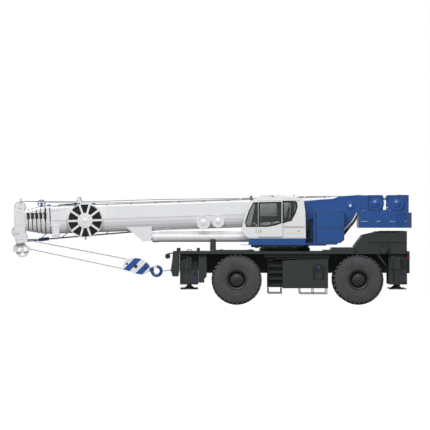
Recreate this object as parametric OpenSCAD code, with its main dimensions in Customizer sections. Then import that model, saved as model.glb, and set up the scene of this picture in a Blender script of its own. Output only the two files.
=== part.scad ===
/* [Running gear] */
// Distance between the front and the rear axle
wheelbase = 4530; // [4400:10:4700]
// Outer diameter of a tyre
tyre_od = 1875; // [1780:5:1900]
// Width of a tyre
tyre_w = 750; // [600:10:760]
// Distance from a kingpin out to the middle of its tyre
king_offset = 282.5; // [275:0.5:300]
// Number of lugs on each side of a tyre
lugs = 32; // [24:1:36]
// Height of a lug
lug_h = 40; // [20:2:50]
// Diameter of the rim's flange
rim_flange_d = 770; // [720:10:820]
// Distance between the left and right kingpins
kingpin_track = 2000; // [1960:10:2040]
// Gap between a tyre's top and the deck's underside
tyre_room = 25; // [20:1:40]
/* [Carrier] */
// Width of the main frame
frame_w = 1060; // [900:10:1080]
// Thickness of the deck
deck_t = 100; // [90:5:110]
// Height of the main frame's underside above the axles
axle_room = 242.5; // [235:0.5:260]
// Thickness of the frame's plates
frame_wall = 25; // [12:1:40]
// Height of the engine hood above the deck
hood_h = 750; // [700:10:760]
// Width of the side walk beside the engine hood
hood_walk = 320; // [280:10:400]
// Half the width of the channel in the hood that the lift cylinder swings through
hood_channel_half_w = 260; // [240:5:320]
// Width of each side tank, measured across the carrier
tank_w = 560; // [400:10:600]
/* [Outriggers] */
// Width of an outrigger beam
beam_w = 240; // [200:5:250]
// Height of an outrigger beam
beam_h = 300; // [240:5:320]
// Distance between the two beams of one box
beam_pitch = 340; // [320:5:360]
// How far the beams' underside lies below the deck's underside
beam_drop = 548; // [530:1:555]
// Distance between the left and right jacks, retracted
jack_track = 2634; // [2600:2:2640]
// Diameter of a float
float_d = 680; // [500:10:680]
// Diameter of a jack's rod
jack_rod_d = 110; // [80:2:130]
/* [Superstructure] */
// Distance from the front axle back to the slewing axis
slew_back = 1805; // [1780:5:1830]
// Radius of the slewing ring
ring_r = 950; // [800:10:980]
// Distance from the slewing axis back to the boom's foot pin
pivot_back = 2450; // [2430:5:2470]
// Height of the boom's foot pin above the deck
pivot_h = 1700; // [1690:5:1720]
// Inner distance between the turntable's side plates
cheek_gap = 800; // [780:5:820]
// Thickness of a turntable side plate
cheek_t = 50; // [30:2:70]
// Height of the counterweight's underside
weight_z = 2870; // [2860:5:2900]
// Half the width of the counterweight
weight_half_w = 1450; // [1200:10:1600]
/* [Cab] */
// Width of the cab
cab_w = 880; // [800:10:900]
// Thickness of the cab's walls
cab_wall = 45; // [30:1:60]
// Thickness of the sliding door
door_t = 40; // [25:1:40]
/* [Boom] */
// Angle of the stowed boom below level, in degrees
stow_deg = 1.9; // [1.5:0.1:2.2]
// Width of the base section
boom_w = 700; // [660:10:720]
// Thickness of a boom section's plate
boom_wall = 14; // [8:1:18]
// Step from one section's outside to the next one's
nest_step = 34; // [30:1:38]
// Diameter of the lift cylinder's barrel
barrel_d = 360; // [300:5:370]
// Diameter of the lift cylinder's rod
lift_rod_d = 250; // [200:5:270]
// Length of rod that shows between the barrel's end and the eye, with the boom stowed
rod_stub = 240; // [200:10:280]
// Diameter of the cable wound on the reel
reel_d = 1210; // [1000:10:1240]
// Number of spokes of the cable reel
reel_spokes = 10; // [6:1:12]

/* [Hidden] */
$fn = 48;

fit = 0.3;                         // running gap at pins, pads and bearings
clear = 6;                         // gap between pieces that pass each other
front_x = 945;                     // front axle; the origin is under the middle of the whole machine
rear_x = front_x + wheelbase;
wheel_z = tyre_od / 2;
track = kingpin_track + 2 * king_offset;
slew_x = front_x + slew_back;
frame_top = tyre_od + tyre_room;
frame_bottom = wheel_z + axle_room;
frame_half = frame_w / 2;
deck_z = frame_top + deck_t;
deck_half_w = track / 2 + tyre_w / 2 - 17.5;
hood_x = [slew_x + 2580, rear_x + 1815];    // front and back of the engine hood
hood_z = deck_z + hood_h;
hood_half_w = deck_half_w - hood_walk;
beam_z = frame_top - beam_drop;
outrigger_xs = [front_x - 1770, rear_x + 1475];       // middle of the front and the rear outrigger
jack_y = jack_track / 2;
ladder_x = [front_x + tyre_od / 2 + 217.5, front_x + tyre_od / 2 + 777.5];
tank_back = rear_x - tyre_od / 2 - 187.5;

// The superstructure is drawn for a slewing axis at x = 2750 and a deck at z = 2000,
// and on_ring moves it to the carrier's own
drawn_x = 2750;
drawn_z = 2000;
pivot_x = drawn_x + pivot_back;
pivot_z = drawn_z + pivot_h;
module on_ring() { translate([slew_x - drawn_x, 0, deck_z - drawn_z]) children(); }

// Sides: columns are name suffix, axle or outrigger index, side (-1 left, 1 right)
corners = [["fl", 0, -1], ["fr", 0, 1], ["rl", 1, -1], ["rr", 1, 1]];

module block(a, b) { translate(a) cube([b[0] - a[0], b[1] - a[1], b[2] - a[2]]); }
// A side view outline, extruded across the machine from y0 to y1
module across(y0, y1) { translate([0, y1, 0]) rotate([90, 0, 0]) linear_extrude(y1 - y0) children(); }
module rod_y(x, z, r, y0, y1) { translate([x, y1, z]) rotate([90, 0, 0]) cylinder(r = r, h = y1 - y0); }
module both_sides() { children(); mirror([0, 1, 0]) children(); }

function unit(v) = v / norm(v);
function edge_normal(a, b) = let (d = unit(b - a)) [-d[1], d[0]];
// Moves a counter-clockwise outline inwards by d
function inset(p, d) = let (n = len(p)) [for (i = [0 : n - 1])
    let (n1 = edge_normal(p[(i + n - 1) % n], p[i]), n2 = edge_normal(p[i], p[(i + 1) % n]))
    p[i] + (n1 + n2) * d / (1 + n1 * n2)];

// Carrier

module chassis_frame() {
    front = outrigger_xs[0] + 350;
    back = outrigger_xs[1] - 350;
    color("darkslategray") {
        difference() {
            block([front, -frame_half, frame_bottom], [back, frame_half, frame_top]);
            block([front + frame_wall, -frame_half + frame_wall, frame_bottom + frame_wall],
                  [back - frame_wall, frame_half - frame_wall, frame_top - frame_wall]);
        }
        translate([slew_x, 0, frame_top]) cylinder(r = ring_r, h = deck_z + 100 - frame_top);
    }
}

deck_outline = [[-1200, frame_top], [hood_x[0], frame_top], [hood_x[0], deck_z + 140], [4500, deck_z + 130],
    [4480, deck_z + 40], [4200, deck_z + 40], [4180, deck_z], [1620, deck_z], [1600, deck_z + 40],
    [-20, deck_z + 40], [-40, deck_z], [-1200, deck_z]];
bumper_outline = [[-1440, 1060], [-1230, 1060], [-1200, 1300], [-1200, deck_z], [-1430, deck_z],
    [-1450, 1700], [-1510, 1300]];
skirt_outline = [[-474, 830], [-260, 830], [-270, 960], [-175, 1050], [-175, frame_top + 1], [-474,
    frame_top + 1]];
rest_outline = [[-50, -1], [180, -1], [170, 390], [110, 410], [20, 410], [-40, 390]];
rest_z = deck_z + 40;              // the boom rest stands here

module deck() {
    color("darkslategray") {
        difference() {
            across(-deck_half_w, deck_half_w) polygon(deck_outline);
            translate([slew_x, 0, frame_top - 1]) cylinder(r = ring_r, h = 400);
        }
        across(140 - deck_half_w, deck_half_w - 140) polygon(bumper_outline);
        both_sides() {
            across(deck_half_w - 440, deck_half_w - 160) polygon(skirt_outline);
            across(barrel_d / 2 + 30, barrel_d / 2 + 90) translate([0, rest_z]) polygon(rest_outline);
            block([1950, deck_half_w - 170, frame_top - 120], [tank_back + 50, deck_half_w - 140,
                frame_top + 1]);
            block([hood_x[0] - 1, hood_half_w, frame_top], [hood_x[0] + 870, deck_half_w, frame_top + 30]);
        }
    }
}

module outrigger_boxes() {
    half = jack_y - 167;
    color("darkslategray") for (x = outrigger_xs) {
        difference() {
            block([x - 350, -half, beam_z - 50], [x + 350, half, frame_top]);
            for (s = [-1, 1]) translate([x + s * beam_pitch / 2, 0, 0])
                block([-beam_w / 2 - clear, -half - 1, beam_z - fit],
                      [beam_w / 2 + clear, half + 1, beam_z + beam_h + clear]);
        }
    }
}

// Side view of the engine hood; its channel is open to the top and the back
hood_outline = [[hood_x[0], frame_top], [hood_x[1], frame_top], [hood_x[1], hood_z], [hood_x[0] + 920,
    hood_z - 10],
    [hood_x[0] + 390, hood_z - 130], [hood_x[0] + 310, hood_z - 150], [hood_x[0], deck_z + 190]];
channel_z = deck_z + 250;

module engine_hood() {
    wall = 30;
    half = hood_channel_half_w;
    color("darkslategray") {
        difference() {
            across(-hood_half_w, hood_half_w) polygon(hood_outline);
            across(wall - hood_half_w, hood_half_w - wall) polygon(inset(hood_outline, wall));
            block([hood_x[0] - 50, -half, channel_z], [hood_x[1] + 50, half, hood_z + 50]);
        }
        difference() {
            across(-half - wall, half + wall) polygon(inset(hood_outline, wall - 1));
            block([hood_x[0] - 50, -half, channel_z], [hood_x[1] + 50, half, hood_z + 50]);
            block([hood_x[0] - 50, -half - 40, deck_z - 200], [hood_x[1] + 50, half + 40,
                channel_z - wall]);
        }
        both_sides() across(hood_half_w - 160, hood_half_w) translate([hood_x[1] - 1180, frame_top])
            polygon([[0, 1], [120, 1], [360, -340], [410, -430], [370, -440], [300, -340]]);
    }
}

module engine() { color("dimgray") block([rear_x + 225, -450, frame_top + 30], [rear_x + 1425, 450,
    channel_z - 40]); }

tank_y = 1500;      // outer face of the tanks
tank_outline = [[ladder_x[1], 620], [tank_back, 620], [tank_back, frame_top - 150], [ladder_x[1] + 140,
    frame_top - 150],
    [ladder_x[1] + 40, frame_top - 250], [ladder_x[1], frame_top - 250]];

module side_tanks() {
    inner = tank_y - tank_w;
    color("darkslategray") both_sides() {
        across(inner, tank_y) polygon(tank_outline);
        across(frame_half, inner) polygon([[ladder_x[1] + 140, frame_bottom + 20], [tank_back - 190,
            frame_bottom + 20],
            [tank_back - 190, frame_top - 150], [ladder_x[1] + 140, frame_top - 150]]);
        block([ladder_x[0], inner, 660], [ladder_x[1], tank_y - 240, frame_top - 160]);
    }
}

module side_steps() {
    inner = tank_y - 240;
    color("black") both_sides() {
        for (z = [700 : 240 : 1660]) block([ladder_x[0] + 30, inner, z], [ladder_x[1] - 20, tank_y - 30,
            z + 30]);
        for (x = [ladder_x[0], ladder_x[1] - 20]) block([x, inner, 640], [x + 20, tank_y - 30,
            frame_top - 160]);
        for (x = [ladder_x[0] + 10, ladder_x[1] - 60]) block([x, tank_y - 60, 430], [x + 30,
            tank_y - 30, 640]);
        block([ladder_x[0] + 10, tank_y - 200, 420], [ladder_x[1] - 30, tank_y - 20, 450]);
        for (x = [ladder_x[1] + 630, (ladder_x[1] + tank_back) / 2 + 275, tank_back - 60])
            block([x, tank_y - 60, 430], [x + 30, tank_y - 30, 620]);
        block([ladder_x[1] + 630, tank_y - 70, 400], [tank_back - 30, tank_y - 20, 430]);
    }
}

module axle(x) {
    kp = kingpin_track / 2;
    color("darkslategray") translate([x, 0, wheel_z]) {
        rod_y(0, 0, 140, 140 - kp, kp - 140);
        block([-130, 300 - kp, -150], [130, kp - 300, 150]);
        rotate([0, 90, 0]) translate([0, 0, -260]) cylinder(r = 230, h = 520);
        both_sides() {
            block([-120, kp - 180, -225], [120, kp - 120, 225]);
            difference() {
                union() for (z = [-225, 185]) translate([0, kp, z]) {
                    cylinder(r = 95, h = 40);
                    block([-95, -140, 0], [95, 0, 40]);
                }
                translate([0, kp, -300]) cylinder(r = 45 + fit, h = 600);
            }
            block([-150, frame_half - 150, 100], [150, frame_half - 10, axle_room]);
        }
    }
}
module front_axle() { axle(front_x); }
module rear_axle() { axle(rear_x); }

lamp_y = deck_half_w - 290;         // outer face of the lamps
mirror_y = 240 - deck_half_w;
mirror_arm_x = -1437;              // just clear of the bumper's sloping face
module carrier_lamps() {
    color("black") {
        both_sides() {
            block([-1290, lamp_y - 200, deck_z], [-1160, lamp_y, deck_z + 110]);
            block([-540, lamp_y - 50, deck_z], [-430, lamp_y + 50, deck_z + 110]);
            block([hood_x[1] + 10, lamp_y - 450, beam_z - 172], [hood_x[1] + 100, lamp_y, deck_z]);
        }
        rod_y(-1620, 1815, 100, mirror_y - 20, mirror_y + 20);
        block([-1600, mirror_y - 10, 1900], [mirror_arm_x, mirror_y + 10, 1940]);
    }
}

// Wheels, at the axle's height; s is the side

web_y = kingpin_track / 2 + 230;   // middle of the wheel's web, from the middle of the machine
module knuckle(x, s) {
    kp = kingpin_track / 2;
    color("dimgray") translate([x, 0, wheel_z]) mirror([0, s < 0 ? 1 : 0, 0]) {
        translate([0, kp, -185 + fit]) cylinder(r = 90, h = 370 - 2 * fit);
        translate([0, kp, -225]) cylinder(r = 45, h = 450);
        rod_y(0, 0, 110, kp, web_y - 20 - fit);
        rod_y(0, 0, 60, web_y - 60, web_y + 160);
    }
}

tread_r = tyre_od / 2 - lug_h;
bead_r = rim_flange_d / 2 - 55;
bulge_r = (rim_flange_d / 2 + tread_r) / 2 - 41;
shoulder_r = (bulge_r + tread_r) / 2 - 9;
tyre_section = [[bead_r, -tyre_w / 2 + 60], [bead_r + 90, -tyre_w / 2 + 20], [bulge_r, -tyre_w / 2],
    [shoulder_r, -tyre_w / 2 + 15], [tread_r - 50, -tyre_w / 2 + 40], [tread_r - 5, -tyre_w / 2 + 90],
        [tread_r, 0],
    [tread_r - 5, tyre_w / 2 - 90], [tread_r - 50, tyre_w / 2 - 40], [shoulder_r, tyre_w / 2 - 15],
    [bulge_r, tyre_w / 2], [bead_r + 90, tyre_w / 2 - 20], [bead_r, tyre_w / 2 - 60]];
lug_w = 0.46 * PI * tyre_od / lugs;    // a lug is a little narrower than the gap beside it
lug_l = tyre_w / 2 - 25;
lug_skew = 18;
lug_reach = (lug_w * cos(lug_skew) + lug_l * sin(lug_skew)) / 2;
lug_top = sqrt(pow(tyre_od / 2, 2) - pow(lug_reach, 2));
lug_turn = 180 - asin(lug_reach / (tyre_od / 2)) - 90 / lugs;    // puts a lug's corner on the ground
module tyre(x, s) {
    color("dimgray") translate([x, s * track / 2, wheel_z]) rotate([90, 0, 0]) {
        rotate_extrude($fn = 96) polygon(tyre_section);
        for (i = [0 : lugs - 1], e = [-1, 1]) rotate([0, 0, lug_turn + (i + e / 4) * 360 / lugs])
            translate([0, tread_r - 25, e * (lug_l / 2 + 8)]) rotate([0, e * lug_skew, 0])
                translate([-lug_w / 2, 0, -lug_l / 2]) cube([lug_w, lug_top - tread_r + 25, lug_l]);
    }
}
module rim(x, s) {
    fr = rim_flange_d / 2;
    y0 = web_y - track / 2;
    color("darkslategray") translate([x, s * track / 2, wheel_z]) mirror([0, s < 0 ? 1 : 0,
        0]) rotate([-90, 0, 0])
        rotate_extrude($fn = 96) polygon([[60 + fit, y0 - 20], [bead_r - 30, y0 - 20], [bead_r - 30,
            -340], [bead_r, -340],
            [bead_r, 315], [fr - 20, 335], [fr, 355], [fr - 40, 345], [bead_r - 30, 325], [bead_r - 30,
                y0 + 20],
            [255, y0 + 20], [255, 200], [190, 230], [190, 300], [120, 320], [0.01, 320], [0.01, y0 + 170],
            [60 + fit, y0 + 170]]);
}

// Outriggers

beam_tail = 1160;   // where a beam ends on the other side of the machine
beam_face = 1500;   // the outer face of a retracted beam
unit_half = 340;    // half the length of the jack box along the machine
unit_top = beam_z - 22;
jack_tube_top = frame_top - 110;
jack_foot = beam_z - 652;          // underside of the jack's tube
module outrigger_beam(x, s) {
    bx = x + s * beam_pitch / 2;
    tube_r = jack_rod_d / 2 + 30;
    color("darkslategray") mirror([0, s < 0 ? 1 : 0, 0]) difference() {
        union() {
            difference() {
                block([bx - beam_w / 2, -beam_tail, beam_z], [bx + beam_w / 2, beam_face, beam_z + beam_h]);
                block([bx - beam_w / 2 + 15, -beam_tail + 15, beam_z + 15],
                      [bx + beam_w / 2 - 15, jack_y - 150, beam_z + beam_h - 15]);
            }
            block([x - unit_half, jack_y - 150, jack_foot + 60], [x + unit_half, jack_y + 150, unit_top]);
            block([bx - beam_w / 2, jack_y - 150, beam_z - 52], [bx + beam_w / 2, jack_y + 150,
                beam_z + beam_h]);
            block([bx - 85, jack_y - 85, beam_z], [bx + 85, jack_y + 85, frame_top - 70]);
            block([x - tube_r, jack_y - 60, unit_top - 10], [x + tube_r, beam_face, jack_tube_top]);
            translate([x, jack_y, jack_foot]) cylinder(r = tube_r, h = jack_tube_top - jack_foot);
        }
        translate([x, jack_y, jack_foot - 10]) cylinder(r = jack_rod_d / 2 + fit,
            h = jack_tube_top - jack_foot - 10);
    }
}
module jack(x, s) {
    color("black") translate([x, s * jack_y, jack_foot - 80]) {
        cylinder(r = jack_rod_d / 2, h = 1080);
        cylinder(r1 = 190, r2 = 90, h = 70);
        translate([0, 0, -40]) cylinder(r1 = float_d / 2, r2 = float_d / 2 - 20, h = 40);
    }
}

// Superstructure

cab_floor = 2480;   // underside of the cab
weight_x = 5490;    // front of the counterweight
weight_back = 7474; // its back, which is the machine's rear end
weight_top = 3440;
bed = 2300;         // top of the bed that the hoods stand on
cheek_outline = [[drawn_x - 850, 2260], [4300, 2260], [4900, 2350], [5000, 2640], [5420, 3300],
    [weight_x - 5, weight_top],
    [7380, weight_top], [7380, weight_top + 60], [5860, weight_top + 60], [5860, 4080], [5500, 4100],
        [4800, 4050], [4550, 3960],
    [3450, 3870], [3300, 3400], [2700, 2800], [drawn_x - 750, 2700]];

ear_gap = 220;                     // inner face of each of the lift cylinder's two ears
module turntable() {
    c0 = cheek_gap / 2;
    color("royalblue") {
        translate([drawn_x, 0, drawn_z + 100 + fit]) cylinder(r = ring_r - 30, h = 100);
        block([drawn_x - 900, -640, 2200], [4300, 640, 2262]);
        both_sides() {
            difference() {
                across(c0, c0 + cheek_t) polygon(cheek_outline);
                rod_y(pivot_x, pivot_z, 90 + fit, 0, 1000);
            }
            difference() {
                across(ear_gap, ear_gap + 70) polygon([[base_at[0] - 250, 2260], [base_at[0] + 350, 2260],
                    [base_at[0] + 200, 2640], [base_at[0] + 100, 2700], [base_at[0] - 100, 2700],
                        [base_at[0] - 200, 2620]]);
                rod_y(base_at[0], base_at[1], 80 + fit, 0, 1000);
            }
            block([base_at[0] - 100, ear_gap + 70, 2260], [base_at[0] + 200, c0 + 1, 2420]);
        }
        block([4400, -c0 - 1, 2350], [4800, c0 + 1, 2600]);
        block([drawn_x - 1350, -1600, 2230], [3500, -600, cab_floor]);
        block([3500, -1550, 2250], [4700, -449, bed]);
        block([drawn_x - 1350, 600, 2230], [4700, 1500, bed]);
    }
}

module counterweight() {
    color("royalblue") translate([0, 0, weight_z]) linear_extrude(weight_top - weight_z)
        polygon([[weight_x, -weight_half_w], [6900, -weight_half_w], [7300, -weight_half_w + 120],
            [weight_back, -weight_half_w + 420], [weight_back, weight_half_w - 420], [7300,
                weight_half_w - 120],
            [6900, weight_half_w], [weight_x, weight_half_w]]);
}

winch_xs = [6150, 6950];
winch_z = 3780;
winch_w = cheek_gap / 2 - 40;      // inner face of a winch's side plate
winch_cover_r = 270;               // round gear cover on a winch's side
winch_frames = [[[5850, 0], [6430, 0], [6430, 650], [5850, 650]],
    [[6560, 0], [7390, 0], [7390, 660], [7000, 670], [6560, 620]]];
module winches() {
    color("royalblue") {
        both_sides() difference() {
            union() {
                for (f = winch_frames) across(winch_w, cheek_gap / 2) translate([0, weight_top]) polygon(f);
                for (z = [0, 470]) block([6429, winch_w, weight_top + z], [6561, cheek_gap / 2,
                    weight_top + z + 100]);
                for (x = winch_xs) rod_y(x, winch_z, winch_cover_r, cheek_gap / 2 - 1, cheek_gap / 2 + 70);
            }
            for (x = winch_xs) rod_y(x, winch_z, 60 + fit, 0, cheek_gap / 2);
        }
        for (x = [5870, 6370, 6580, 7320]) block([x, -winch_w, weight_top], [x + 50, winch_w,
            weight_top + 60]);
    }
}
module drum(x) {
    color("silver") {
        rod_y(x, winch_z, 60, -cheek_gap / 2 + fit, cheek_gap / 2 - fit);
        rod_y(x, winch_z, 210, -winch_w + 5, winch_w - 5);
        both_sides() rod_y(x, winch_z, 320, winch_w - 35, winch_w - 5);
    }
}

// low parts of the superstructure stay inside this radius, clear of the boom rest and the engine hood
swing_r = 2540;
module upper_hood() {
    color("royalblue") intersection() {
        union() {
            across(-1550, -cheek_gap / 2 - cheek_t)
                polygon([[3900, bed], [4800, bed], [4960, 2420], [4960, 3480], [3900, 3480]]);
            across(cheek_gap / 2 + cheek_t, 1450)
                polygon([[2200, bed], [4700, bed], [4700, 3100], [2500, 3100], [2200, 2800]]);
        }
        translate([drawn_x, 0, bed - 1]) cylinder(r = swing_r, h = 1300, $fn = 96);
    }
}

// Cab, seen from the left; counter-clockwise

cab_y1 = -720;
cab_y0 = cab_y1 - cab_w;
cab_outline = [[1400, cab_floor], [3520, cab_floor], [3500, 3450], [3440, 3880], [3390, 3980], [2900,
    4030], [1900, 4025],
    [1590, 3960], [1470, 3800], [1330, 3500], [1240, 3250], [1170, 2990], [1120, 2790], [1230, 2620]];
door_x = [1740, 2640];
door_z = [2540, 3850];
window_outline = [[1330, 2940], [1700, 2940], [1700, 3790], [1590, 3780], [1430, 3500], [1290, 3080]];
rear_window_outline = [[2700, 3100], [2960, 3180], [3100, 3450], [3160, 3650], [3150, 3790], [3090,
    3830], [2700, 3830]];
door_window_outline = [[1810, 2960], [2100, 2960], [2400, 3020], [2560, 3080], [2560, 3790], [1810, 3770]];

module cab_shell() {
    color("white") difference() {
        across(cab_y0, cab_y1) polygon(cab_outline);
        across(cab_y0 + cab_wall, cab_y1 - cab_wall) polygon(inset(cab_outline, cab_wall));
        across(cab_y0 - 1, cab_y0 + cab_wall + 1) {
            polygon(window_outline);
            polygon(rear_window_outline);
            polygon([[door_x[0] + 30, door_z[0] + 30], [door_x[1] - 30, door_z[0] + 30],
                [door_x[1] - 30, door_z[1] - 30], [door_x[0] + 30, door_z[1] - 30]]);
        }
        across(cab_y1 - cab_wall - 1, cab_y1 + 1) polygon([[1500, 3050], [3100, 3150], [3100, 3800],
            [1650, 3800]]);
        block([1000, cab_y0 + 90, 3020], [1800, cab_y1 - 90, 3880]);
        block([3400, cab_y0 + 120, 3100], [3600, cab_y1 - 120, 3750]);
    }
}
module cab_glass() {
    g = 0.2;
    color("lightblue") {
        across(cab_y0 + 10, cab_y0 + 16) {
            polygon(inset(window_outline, g));
            polygon(inset(rear_window_outline, g));
        }
        across(cab_y1 - 16, cab_y1 - 10) polygon(inset([[1500, 3050], [3100, 3150], [3100, 3800], [1650,
            3800]], g));
        intersection() {
            difference() {
                across(cab_y0, cab_y1) polygon(inset(cab_outline, 10));
                across(cab_y0 - 1, cab_y1 + 1) polygon(inset(cab_outline, 16));
            }
            union() {
                block([1000, cab_y0 + 90 + g, 3020 + g], [1800, cab_y1 - 90 - g, 3880 - g]);
                block([3400, cab_y0 + 120 + g, 3100 + g], [3600, cab_y1 - 120 - g, 3750 - g]);
            }
        }
    }
}
module cab_interior() {
    mid = cab_y1 - cab_w / 2;
    floor_z = cab_floor + cab_wall;
    color("dimgray") {
        block([2350, mid - 200, floor_z], [2800, mid + 200, floor_z + 330]);
        block([2270, mid - 250, floor_z + 330], [2820, mid + 250, floor_z + 460]);
        across(mid - 240, mid + 240) polygon([[2740, floor_z + 460], [2860, floor_z + 460], [2960,
            floor_z + 1100], [2860, floor_z + 1100]]);
        block([1450, mid - 250, floor_z], [1700, mid + 250, floor_z + 500]);
    }
}
module cab_door() {
    y = cab_y0 - clear - door_t;
    color("white") {
        difference() {
            block([door_x[0], y, door_z[0]], [door_x[1], y + door_t, door_z[1]]);
            across(y - 1, y + door_t + 1) polygon(door_window_outline);
        }
        block([door_x[0] + 100, y + door_t, door_z[1] - 80], [door_x[0] + 160, cab_y0 - fit,
            door_z[1] - 40]);
        block([door_x[1] - 160, y + door_t, door_z[0] + 4], [door_x[1] - 100, cab_y0 - fit,
            door_z[0] + 24]);
    }
}
module door_glass() {
    y = cab_y0 - clear - door_t;
    color("lightblue") across(y + 15, y + 21) polygon(inset(door_window_outline, 0.2));
}

// Boom, in its own frame: the foot pin is the origin and the tip is towards -X

module in_boom() { translate([pivot_x, 0, pivot_z]) rotate([0, -stow_deg, 0]) children(); }
module along_boom(x0, x1) { translate([x0, 0, 0]) rotate([90, 0, 90]) linear_extrude(x1 - x0) children(); }
boom_top = 350;
boom_bottom = -700;
boom_seam = -190;
boom_half = boom_w / 2;
// A section's outline, drawn in from the base section's outside by d
function profile(d) = let (h = boom_half - d, top = boom_top - d, deep = boom_seam - boom_bottom - d,
    c = 70)
    concat([for (t = [75 : -15 : 0]) [h * cos(t), boom_seam - deep * sin(t)]],
        [[h, top - c], [h - c, top], [c - h, top], [-h, top - c]],
        [for (t = [0 : 15 : 75]) [-h * cos(t), boom_seam - deep * sin(t)]]);
base_front = -11430;
foot_x = -400;
collar_w = 150;
collar_gap = 8;
// Sections 2 to 6: columns are the number, where the tail starts, where the collar starts
sections = [for (i = [2 : 6]) [i, -1500 - 60 * i, base_front - (i - 1) * collar_gap - (i - 2) * collar_w]];

module tube(i, x0, x1) {
    along_boom(x0, x1) difference() {
        polygon(profile((i - 1) * nest_step));
        polygon(profile((i - 1) * nest_step + boom_wall));
    }
}
module lip(i, x) { // the ring at a section's mouth that guides the next section
    along_boom(x, x + 60) difference() {
        polygon(profile((i - 1) * nest_step + boom_wall - 1));
        polygon(profile(i * nest_step - fit));
    }
}

eye_at = [pivot_x - 7650, pivot_z - 1180];   // the lift cylinder's eye, with the boom stowed
bracket_outline = [for (d = [[-1110, 640], [-890, 480], [-550, 210], [-170, -110], [-110, -175], [120,
    -150],
    [210, -90], [225, 140], [210, 640]]) eye_at + d];
eye_gap = 200;                     // inner face of each of the bracket's two plates
// round covers on the boom's left side: place along, height, radius
covers = [[-5515, -455, 255], [-4965, -425, 240]];
module boom_base() {
    color("whitesmoke") {
        in_boom() {
            tube(1, base_front, foot_x);
            lip(1, base_front);
            along_boom(foot_x - 60, foot_x) polygon(profile(boom_wall - 1));
            both_sides() {
                across(boom_half - 60, boom_half) polygon([[foot_x - 30, boom_bottom + 250], [-100,
                    -260], [150, -230],
                    [270, 0], [200, 180], [0, boom_top - 30], [foot_x - 30, boom_top - 70]]);
                rod_y(0, 0, 180, boom_half - 60, cheek_gap / 2 - fit);
            }
            rod_y(0, 0, 90, -cheek_gap / 2 - cheek_t - 20, cheek_gap / 2 + cheek_t + 20);
        }
        difference() {
            union() {
                both_sides() across(eye_gap, eye_gap + 60) polygon(bracket_outline);
                in_boom() {
                    for (d = covers) rod_y(d[0], d[1], d[2], -boom_half - 40, -boom_half + 90);
                    block([-11190, -boom_half - 50, -810], [-10900, -120, -380]);
                    block([-10200, -260, boom_top - 20], [-10100, -200, boom_top + 91]);
                    block([-10230, -boom_half - 120, boom_top + 90], [-10060, -180, boom_top + 150]);
                    block([-10190, -boom_half - 120, boom_top + 149], [-10100, -boom_half - 60,
                        boom_top + 295]);
                }
            }
            in_boom() along_boom(base_front + 60, foot_x - 60) polygon(profile(boom_wall - 1));
        }
    }
}
module boom_section(i) {
    s = sections[i - 2];
    color("whitesmoke") in_boom() {
        tube(i, s[2], s[1]);
        along_boom(s[1], s[1] + 30) polygon(profile((i - 2) * nest_step + boom_wall + fit));
        along_boom(s[2] - collar_w, s[2]) difference() {
            polygon(profile((i - 1) * nest_step - 25));
            polygon(profile(i * nest_step - fit));
        }
        if (i == 6) boom_head(s[2] - collar_w);
    }
}
jib_pin_r = 25;     // the fly jib's foot is pinned to the head
head_w = 260;       // inner face of a head side plate
head_x = sections[4][2] - collar_w;
aux_w = 70;         // inner face of a plate of the lower bracket
nose_at = [head_x - 145, 352];
main_at = [head_x - 265, -570];
jib_pin_at = [head_x - 300, -900];
aux_at = [head_x - 115, -1287];
anchor_at = [head_x + 150, -1225];
anchor_r = 20;
aux_windows = [30, 150, 270];      // directions of the openings between the lower sheave's three spokes
module window(a) {
    polygon([for (d = [-36, 36]) 100 * [cos(a + d), sin(a + d)], for (d = [28, 0,
        -28]) 178 * [cos(a + d), sin(a + d)]]);
}
module sheave_bores() { rod_y(0, 0, 50 + fit, -1000, 1000); }
module boom_head(x) {
    difference() {
        union() {
            block([x - 40, -head_w - 40, -680], [x, head_w + 40, 165]);
            both_sides() across(head_w, head_w + 40) polygon([[x + 30, -600], [x + 105, -780], [x + 100,
                -930],
                [x - 40, -985], [x - 250, -1010], [x - 340, -960], [x - 380, -860], [x - 375, 200],
                    [x - 320, 350],
                [x - 230, 430], [x - 60, 430], [x + 10, 320], [x + 20, 100]]);
            block([x - 380, -head_w - 1, -330], [x - 350, head_w + 1, 60]);
            both_sides() across(aux_w, aux_w + 30) polygon([[x - 60, -960], [x + 60, -1100], [x + 190,
                -1170],
                [x + 180, -1270], [x - 100, -1370], [x - 440, -1310], [x - 467, -1240], [x - 440,
                    -1100], [x - 300, -980]]);
            both_sides() block([x - 240, aux_w, -1040], [x - 180, head_w + 1, -990]);
            rod_y(anchor_at[0], anchor_at[1], anchor_r, -aux_w - 1, aux_w + 1);
        }
        for (at = [main_at, nose_at, aux_at]) translate([at[0], 0, at[1]]) sheave_bores();
        for (a = aux_windows) if (a < 180) across(-1000, 1000) translate(aux_at) window(a);
        rod_y(jib_pin_at[0], jib_pin_at[1], jib_pin_r, -1000, 1000);
    }
}
module sheave(x, z, ys, r, half_pin) {
    color("gray") in_boom() {
        for (y = ys) rod_y(x, z, r, y - 25, y + 25);
        rod_y(x, z, 50, -half_pin, half_pin);
        for (i = [1 : len(ys) - 1]) rod_y(x, z, 90, ys[i - 1] + 25, ys[i] - 25);
    }
}
main_r = 215;
module nose_sheave() { sheave(nose_at[0], nose_at[1], [-80, 0, 80], 200, head_w + 40); }
module main_sheaves() { sheave(main_at[0], main_at[1], [for (y = [-200 : 80 : 200]) y], main_r,
    head_w + 40); }
module aux_sheave() {
    difference() {
        sheave(aux_at[0], aux_at[1], [0], 240, aux_w + 30);
        in_boom() for (a = aux_windows) across(-26, 26) translate(aux_at) window(a);
    }
}

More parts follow.
